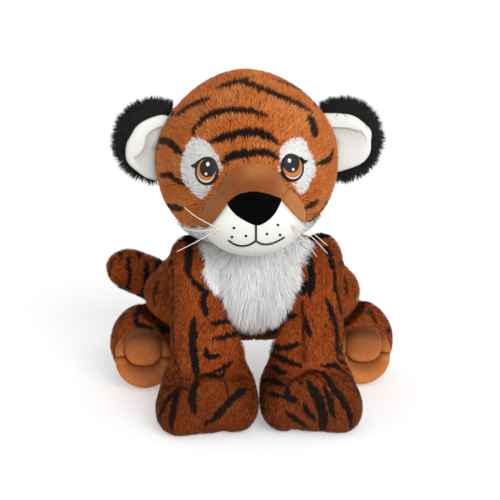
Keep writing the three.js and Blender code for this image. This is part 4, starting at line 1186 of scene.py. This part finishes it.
EYES = {
    "left": {
        "middle": (207.0, 171.0), "half": (12.4, 14.6), "iris": (207.2, 170.2), "iris_half": (10.6, 12.4),
        "pupil": (208.2, 168.6), "pupil_half": (9.3, 10.6),
        "glints": ((209, 164, 2.7), (207.3, 173.2, 1.9)),
        "lash": ((196.5, 168), (191, 165.6), (196, 163), (199, 160)),
    },
    "right": {
        "middle": (292.0, 168.0), "half": (12.2, 14.2), "iris": (291.8, 167.2), "iris_half": (10.6, 12.2),
        "pupil": (290.6, 164.2), "pupil_half": (9.3, 10.8),
        "glints": ((288, 160.5, 2.7), (291.6, 169, 1.9)),
        "lash": ((303.2, 164), (307.5, 160.4), (303, 159.4), (300, 156.5)),
    },
}
BIB_PX = ((204, 244), (204, 266), (209, 281), (222, 295), (236, 312), (246, 321), (258, 322), (268, 313),
          (284, 300), (297, 288), (301, 272), (300, 256), (294, 238), (256, 228), (212, 234))


def ellipse_px(middle, half, count=24):
    angles = np.linspace(0, 2 * math.pi, count, endpoint=False)
    return [(middle[0] + half[0] * math.cos(a), middle[1] + half[1] * math.sin(a)) for a in angles]


def chin_side(points):
    """Distance below the line between the muzzle's suede and its white velour."""
    x, _, z = moved(points, np.linalg.inv(head_pose)).T
    line = np.array(CHIN_LINE, float)
    height = np.interp(x, line[:, 0], line[:, 1])
    tilt = np.interp(x, (-44, -43, -23, -22, 22, 23, 43, 44), (1, 0.64, 0.64, 1, 1, 0.64, 0.64, 1))
    return (z - height) * tilt


MUZZLE_GRID = (-62, -130, 144), (48, -28, 244)


def make_muzzle():
    darts = gap_to(np.concatenate([curve_through(cast(row, muzzle), 50) for row in DARTS_PX]))
    sewn = soft_dented(muzzle, darts, DART_DEPTH, DART_HALF)
    skull_room, rooms = grown(skull, SEAM_GAP - SKIN_DEPTH), grown(neck_room, TURN_GAP)
    for name, sign, material, node, slot in (
            ("muzzle_velour", 1, white_velour, "muzzle_chin", "white_velour"),
            ("muzzle_suede", -1, tan_suede, "muzzle_top", "tan_suede")):
        half = cut_by(sewn, lambda points, s=sign: -s * chin_side(points) + 0.05, soft=2.4)
        form = cut_by(half, skull_room, rooms, soft=1.0)
        points, faces = skin_of(form, *MUZZLE_GRID, FINE_STEP)
        made = new_object(name, points, faces, material, "head")
        x, _, z = moved(points, np.linalg.inv(head_pose)).T
        if sign < 0:
            # Painted shade: the middle below the bridge, the left flank and the darts' valleys are darker.
            shade = 0.75 * smooth_step(-np.abs(x), -36, -14) * smooth_step(-z, -9, 7)
            shade = np.maximum(shade, 0.65 * smooth_step(-x, -8, 16))
            shade = np.maximum(shade, 0.9 * np.exp(-(darts(points) / 0.9) ** 2))
        else:
            # Painted shade along the seam to the suede and under the chin.
            shade = 0.6 * np.exp(-(chin_side(points) / 1.6) ** 2) + 0.35 * smooth_step(-z, 60, 71)
        set_values(made, crease=shade)
        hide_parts(node, *(["muzzle_filling"] if sign < 0 else []))


def make_nose():
    nose = panel("nose_velour", NOSE_PX, muzzle, black_velour, "head", top=3.0, bottom=-0.8, puff=3.0,
                 rings=10, count=96)
    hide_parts("nose")
    rows = (PHILTRUM_PX, *MOUTH_PX)
    lines = [curve_through(cast(row, muzzle, STITCH_LIFT), THREAD_SAMPLES) for row in rows]
    mouth = tube("mouth_stitches", lines, STITCH_RADIUS, black_stitch, "head")
    for number, (x, y) in enumerate(DOTS_PX):
        dot = panel(f"whisker_dot_{number}", ellipse_px((x, y), DOT_HALF_PX, 12), muzzle, black_stitch,
                    "head", top=0.7, bottom=-0.3, puff=2.0, rings=3, count=16)


def make_eye(side):
    eye = EYES[side]
    patch = panel(f"eye_patch_felt_{side}", PATCH_PX[side], skull, white_felt, "head", top=0.2,
                  bottom=-2.6, puff=5.0, rings=10, count=80)
    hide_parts(f"eye_patch_{side}")
    embroidered = inside_outline(ellipse_px(eye["middle"], np.array(eye["half"]) + 0.8))
    white_strands(f"eye_patch_nap_{side}", PATCH_PX[side], skull, "head", from_face, lambda points: 1.6,
                  density=2.0, reach=2.8, width=0.5, steps=2, depth=0.3,
                  keep=lambda points: ~embroidered(points), unrest=0.5, material=white_nap)
    layers = (
        ("ring", eye["middle"], eye["half"], black_stitch, 2.2),
        ("white", eye["middle"], np.array(eye["half"]) - 1.5, white_stitch, 2.45),
        ("iris", eye["iris"], eye["iris_half"], orange_stitch, 2.7),
        ("pupil", eye["pupil"], eye["pupil_half"], black_stitch, 3.0),
    )
    for name, middle, half, material, top in layers:
        layer = panel(f"eye_{name}_{side}", ellipse_px(middle, half), skull, material, "head", top=top,
                      bottom=0.0, puff=6.0, rings=6, count=64)
        if name == "ring":
            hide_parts(f"eye_{side}")
    for number, (x, y, radius) in enumerate(eye["glints"]):
        glint = panel(f"eye_glint_{side}_{number}", ellipse_px((x, y), (radius * 0.85, radius), 12), skull,
                      white_stitch, "head", top=3.3, bottom=1.5, puff=4.0, rings=4, count=32)
    lash = panel(f"eye_lash_{side}", eye["lash"], skull, black_stitch, "head", top=2.4, bottom=0.0,
                 puff=4.0, rings=4, count=32)


PILE_RINGS = 24
PILE_COUNT = 96


def white_strands(name, outline, form, body, flow, rise, *, density, reach, width, steps, depth, keep,
                  unrest, material=white_pile, seen=None):
    """White pile over a pixel outline of a form. How far it rises is a function of the roots."""
    base, _, _ = panel_points(outline, form, PILE_RINGS, PILE_COUNT, seen)
    quads, middle = ring_faces(PILE_RINGS, PILE_COUNT)
    faces = np.concatenate((np.concatenate((middle, middle[:, 2:]), 1), *quads))
    roots = roots_on(base, faces, density)
    roots = settled(form, roots[keep(roots)], -depth, 2)
    normals = slope(form, roots)
    made = strands(name, roots, normals, along_surface(flow(roots), normals), material, body,
                   rise=rise(roots), reach=reach, width=width, steps=steps, unrest=unrest)


def make_bib():
    base = panel("bib_cloth", BIB_PX, torso, white_felt, "torso", top=0.2, bottom=-SKIN_DEPTH - 0.6,
                 puff=6.0, rings=12, count=96, seen=chest)
    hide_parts("chest_bib")

    def flow(points):
        return falling(0.02 * points[:, 0], 0.3)

    def clear(points):
        return (skull(points) > 1.0) & (muzzle(points) > 1.0) & (front_legs(points) > -4.0)

    def rise(points):
        """The pile is longer beside the legs, where it fills the hollow."""
        beside = smooth_step(-front_legs(points), -18.0, -3.0) * smooth_step(points[:, 2], 84.0, 104.0)
        return 5.6 + 9.0 * beside

    white_strands("bib_pile", BIB_PX, torso, "torso", flow, rise, density=2.6, reach=12.0, width=0.55,
                  steps=3, depth=1.0, keep=clear, unrest=0.34, seen=chest)


# Ears

EAR_WHITE_PX = {
    "left": ((170, 117), (161, 115), (148, 119), (137, 126), (130, 137), (126, 146), (127, 161), (138, 172),
             (150, 179), (162, 182), (176, 176), (184, 158), (184, 136), (178, 122)),
    "right": ((322, 114), (332, 113), (351, 115), (363, 122), (371, 131), (371, 141), (370, 153), (362, 163),
              (348, 169), (334, 172), (320, 168), (312, 152), (311, 134), (315, 120)),
}
EAR_FOLD_PX = {
    "left": ((170, 123), (160, 126), (151, 130), (146, 136), (144, 145), (140, 152), (135, 156)),
    "right": ((330, 126), (346, 127), (359, 130)),
}
EAR_DISH_PX = {
    "left": ((170, 123), (160, 126), (151, 130), (146, 136), (144, 145), (140, 152), (134, 157), (140, 168),
             (152, 175), (190, 178), (190, 123)),
    "right": ((330, 126), (346, 127), (360, 130), (366, 142), (364, 154), (356, 162), (340, 168), (310, 168),
              (310, 126)),
}
EAR_FOLD_DEPTH = 3.2
EAR_FOLD_FADE = 12.0
EAR_REACH = 46.0
EAR_SKIN_STEP = 1.5


def make_ear(side):
    sign, body = SIDES[side], f"ear_{side}"
    form = ear(side)
    room = swept(skull, moved(np.array([ear_seam(sign)]), head_pose)[0], ear_pose(sign)[:3, 2],
                 (-EAR_FOLD_DEG, EAR_FOLD_DEG))
    cut = cut_by(form, grown(room, TURN_GAP), soft=1.5)
    middle = moved(np.array([(sign * EAR_MIDDLE, 0.0, 0.0)]), ear_pose(sign))[0]
    points, faces = skin_of(cut, middle - EAR_REACH, middle + EAR_REACH, EAR_SKIN_STEP)
    back = new_object(f"ear_{side}_plush", points, faces, black_pile, body)
    set_values(back, shade=noise(points, 4.0), along=np.full(len(points), 0.4))
    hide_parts(f"ear_back_{side}")
    white = inside_outline(EAR_WHITE_PX[side])
    front_axis = -ear_pose(sign)[:3, 1]
    roots = roots_on(points, faces, 1.6)
    facing = slope(cut, roots) @ front_axis
    roots = roots[(room(roots) > TURN_GAP + 1.0) & ~(white(roots) & (facing > -0.2))]
    normals = slope(cut, roots)
    flow = along_surface(roots - middle, normals)
    pile = strands(f"ear_{side}_pile", roots, normals, flow, black_pile, body, rise=3.0, reach=8.5,
                   clump=5.0, unrest=0.6)
    fold = gap_to(curve_through(EAR_FOLD_PX[side], 60))
    inner = curve_through(EAR_DISH_PX[side], 80, True)

    def folds(pixels):
        """The velour drops behind the fold of the rim, and rises again away from it."""
        # Where the velour drops, the panel paints it darker as painted shade.
        gap = fold(pixels)
        return EAR_FOLD_DEPTH * within(pixels, inner) * smooth_step(gap, 0, 2) * np.exp(-gap / EAR_FOLD_FADE)

    velour = panel(f"ear_{side}_velour", EAR_WHITE_PX[side], cut, white_velour, body, top=3.6, bottom=0.0,
                   puff=5.0, rings=34, count=120, folds=folds)
    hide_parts(f"ear_front_{side}")


# Soles

SOLE_MIDDLE = 102, 31
SOLE_HALF = 27, 29
MAIN_PAD = (102, 43.5), (17, 16.5)
SIDE_PAD = (21, -1), (7, 14)
LONG_PAD = (-20.5, 0, 6), (-15.5, -11.5, 10), (0, -16.5, 12.5), (15.5, -11.5, 10), (20.5, 0, 6)
PAD_BULGE = 8.5
PAD_FULLNESS = 2.4
LONG_PAD_PARTS = 9
LONG_PAD_SOFT = 3.0
SOLE_BACK = 26.0
SOLE_FRONT = 20.0


def sole_lumps(side):
    """The foot and its stuffed pads."""
    foot = side_ball(FOOT, side)

    def pad(x, z, half_x, half_z, fullness=2.0):
        """A cushion on the foot, carried straight back to it so that no hollow is left behind."""
        middle = np.array([(x, FOOT[0][1] - 60.0, z)])
        for _ in range(40):
            middle[:, 1] += np.maximum(foot(middle), 0.0) * 0.9
        body = ball(middle[0], (half_x, PAD_BULGE, half_z), fullness)
        return lambda points: body(np.minimum(points, (np.inf, middle[0, 1], np.inf)))

    x, z = side * MAIN_PAD[0][0], MAIN_PAD[0][1]
    pads = [pad(x, z, *MAIN_PAD[1], PAD_FULLNESS)]
    for edge in (-1, 1):
        pads.append(pad(x + edge * SIDE_PAD[0][0], z + SIDE_PAD[0][1], *SIDE_PAD[1]))
    row = curve_through(LONG_PAD, LONG_PAD_PARTS)
    parts = [pad(side * SOLE_MIDDLE[0] + dx, SOLE_MIDDLE[1] + dz, half, half) for dx, dz, half in row]
    return [grown(foot, 0.2), *pads, soft_union(LONG_PAD_SOFT, *parts)]


def make_sole(side):
    sign, body = SIDES[side], f"hind_leg_{side}"
    lumps = sole_lumps(sign)
    front = soft_union(1.2, *lumps)
    middle = np.array((sign * SOLE_MIDDLE[0], 0, SOLE_MIDDLE[1]))
    half = np.array((SOLE_HALF[0], np.inf, SOLE_HALF[1]))

    def beyond_rim(points):
        return (1 - np.linalg.norm((points - middle) / half, axis=1)) * SOLE_HALF[0]

    def behind(points):
        return SOLE_BACK - points[:, 1]

    inside_foot = grown(side_ball(FOOT, sign), -SKIN_DEPTH)
    form = above_floor(cut_by(front, inside_foot, beyond_rim, behind, soft=1.5))
    reach = np.array((SOLE_HALF[0] + 2, 0, SOLE_HALF[1] + 2))
    low, high = middle - reach - (0, SOLE_FRONT, 0), middle + reach + (0, SOLE_BACK + 3, 0)
    points, faces = skin_of(form, low, high, FINE_STEP)
    made = new_object(f"sole_velour_{side}", points, faces, tan_velour, body)
    # Painted shade: pad tops and higher points are darker, as are the creases where the lumps meet
    shade = 0.65 * smooth_step(slope(front, points)[:, 2], -0.5, 0.6)
    shade = shade + 0.25 * smooth_step(points[:, 2], 26, 60)
    set_values(made, crease=np.maximum(valleys(lumps, 1.3, 0.9)(points), shade))
    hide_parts(f"sole_{side}")


def off_sole(side):
    sign = SIDES[side]

    def covered(points):
        x = (points[:, 0] - sign * SOLE_MIDDLE[0]) / (SOLE_HALF[0] - 2)
        z = (points[:, 2] - SOLE_MIDDLE[1]) / (SOLE_HALF[1] - 2)
        return (x * x + z * z < 1) & (points[:, 1] < FOOT[0][1])
    return covered


# Whiskers and the white ruff under the cheeks

WHISKER_KNOT_PX = {"left": (219.5, 228.6), "right": (291, 225)}
WHISKERS_PX = {
    "left": (((211, 225), (195, 216), (184, 207)), ((200, 231), (190, 230), (180, 227)),
             ((196, 242), (176, 252))),
    "right": (((303, 227), (315, 235), (328, 246)), ((302, 231), (313, 238), (328, 254)),
              ((299, 235), (307, 243), (317, 257))),
}
WHISKER_RADIUS = 0.5
WHISKER_LIFT = 0.6
WHISKER_BACK = 3.2
RUFF_HEIGHTS = -63.0, -50.0


def make_whiskers(side):
    start = cast([WHISKER_KNOT_PX[side]], muzzle, WHISKER_LIFT)
    lines = []
    for row in WHISKERS_PX[side]:
        depths = start[0, 1] + WHISKER_BACK * np.arange(1, len(row) + 1)
        lines.append(curve_through(np.concatenate((start, at_depth(row, depths))), THREAD_SAMPLES))
    made = tube(f"whisker_threads_{side}", lines, WHISKER_RADIUS, ivory_thread, "head", sides=8, taper=0.6)
    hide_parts(f"whiskers_{side}")


def make_ruff(side, points, faces):
    """White strands in a band round the underside of the cheek."""
    sign = SIDES[side]
    roots = roots_on(points, faces, 1.6)
    x, y, z = moved(roots, np.linalg.inv(head_pose)).T
    low, high = RUFF_HEIGHTS
    kept = (z > low) & (z < high) & (x * sign > 0) & (y < 8)
    kept &= (muzzle(roots) > 1.0) & (neck_room(roots) > TURN_GAP + SKIN_DEPTH)
    roots = roots[kept]
    cut = grown(skull, -SKIN_DEPTH)
    normals = slope(cut, roots)
    flow = along_surface(falling(np.full(len(roots), 0.7 * sign), 0.2), normals)
    made = strands(f"cheek_ruff_pile_{side}", roots, normals, flow, white_pile, "head", rise=5.0,
                   reach=12.0, width=0.8, steps=3, clump=5.0, unrest=0.6)
    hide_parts(f"cheek_ruff_{side}")


# Studio

SUN_AZIMUTH_DEG = 22.0
SUN_ELEVATION_DEG = 28.0
SUN_SPREAD_DEG = 40.0
SUN_STRENGTH = 2.1
SKY_STRENGTH = 0.62
FLOOR_GLOW = 0.36
FLOOR_HALF_M = 12.0
CLIP_M = 0.05, 20


def looked_at(tree):
    """1 for rays that show a thing to the camera, also in a mirror or through glass. 0 for rays of light."""
    rays = "ShaderNodeLightPath"
    seen = add_node(tree, rays, {}, output="Is Camera Ray")
    for other in ("Is Glossy Ray", "Is Transmission Ray"):
        seen = add_node(tree, MATHS, {0: seen, 1: add_node(tree, rays, {}, output=other)},
                        {"operation": "MAXIMUM"})
    return seen


def make_floor():
    mesh = bpy.data.meshes.new("studio_floor")
    corners = [(x * FLOOR_HALF_M, y * FLOOR_HALF_M, 0) for x, y in ((-1, -1), (1, -1), (1, 1), (-1, 1))]
    mesh.from_pydata(corners, [], [(0, 1, 2, 3)])
    floor = bpy.data.objects.new("studio_floor", mesh)
    bpy.context.scene.collection.objects.link(floor)
    material, tree, shader, place = new_material("studio_paper", 0.9, specular=0.1)
    fibre = add_node(tree, NOISE, {"Vector": place, "Scale": per_mm(300)})
    base = add_node(tree, MIX, {FACTOR: fibre, FIRST: linear("#e2e2e2"), SECOND: linear("#e6e6e6")},
                    COLOURS, MIXED)
    mesh.materials.append(finish_material(material, tree, shader, base, fibre, 0.05, 0.1))
    glow = add_node(tree, MAP, {"Value": looked_at(tree), NEW_LOW: 0.0, NEW_HIGH: FLOOR_GLOW})
    shader.inputs["Emission Color"].default_value = (1, 1, 1, 1)
    tree.links.new(glow, shader.inputs["Emission Strength"])


def make_sun():
    """Large soft light, as a lit ceiling panel or a softbox gives."""
    data = bpy.data.lights.new("key_light", "SUN")
    data.angle = math.radians(SUN_SPREAD_DEG)
    data.energy = SUN_STRENGTH
    sun = bpy.data.objects.new("key_light", data)
    turn = rotation(Z_AXIS, SUN_AZIMUTH_DEG) @ rotation(X_AXIS, 90 - SUN_ELEVATION_DEG)
    sun.rotation_euler = Matrix(turn.tolist()).to_euler()
    bpy.context.scene.collection.objects.link(sun)


def make_studio():
    make_floor()
    make_sun()
    world = bpy.data.worlds.new("studio")
    bpy.context.scene.world = world
    world.use_nodes = True
    tree = world.node_tree
    background = tree.nodes["Background"]
    background.inputs["Color"].default_value = (1, 1, 1, 1)
    strength = add_node(tree, MAP, {"Value": looked_at(tree), NEW_LOW: SKY_STRENGTH, NEW_HIGH: 1.0})
    tree.links.new(strength, background.inputs["Strength"])
    bpy.context.scene.view_settings.view_transform = "Standard"


def make_camera():
    data = bpy.data.cameras.new("camera")
    data.sensor_width = SENSOR_MM
    data.lens = FOCAL_PX * SENSOR_MM / PHOTO_SIZE
    data.clip_start, data.clip_end = CLIP_M
    camera = bpy.data.objects.new("camera", data)
    camera.location = Vector(PHOTO_EYE * MM + ORIGIN)
    camera.rotation_mode = "QUATERNION"
    camera.rotation_quaternion = Vector(FORWARD).to_track_quat("-Z", "Y")
    bpy.context.scene.collection.objects.link(camera)
    bpy.context.scene.camera = camera


# Everything

def under_neighbours(points):
    """True where the torso's pile would stand deep inside a leg, the head or the tail."""
    hidden = skull(points) < HIDDEN_DEPTH
    for form in (*FRONT_LEGS.values(), *[hind_leg(sign) for sign in SIDES.values()], tail):
        hidden |= form(points) < HIDDEN_DEPTH
    return hidden


make_camera()
make_studio()
bib_area = inside_outline(BIB_PX, margin=-0.04, front=-10.0)
patches = [inside_outline(PATCH_PX[side], margin=-0.12, front=-40.0) for side in SIDES]
make_torso([under_neighbours, bib_area])
head_skin = make_head([lambda points: muzzle(points) < -2.5, *patches])
make_muzzle()
make_nose()
make_bib()
make_tail()
for side in SIDES:
    make_eye(side)
    make_ear(side)
    make_front_leg(side, bib_area)
    make_hind_leg(side, [off_sole(side)])
    make_sole(side)
    make_whiskers(side)
for side in SIDES:
    make_ruff(side, *head_skin)
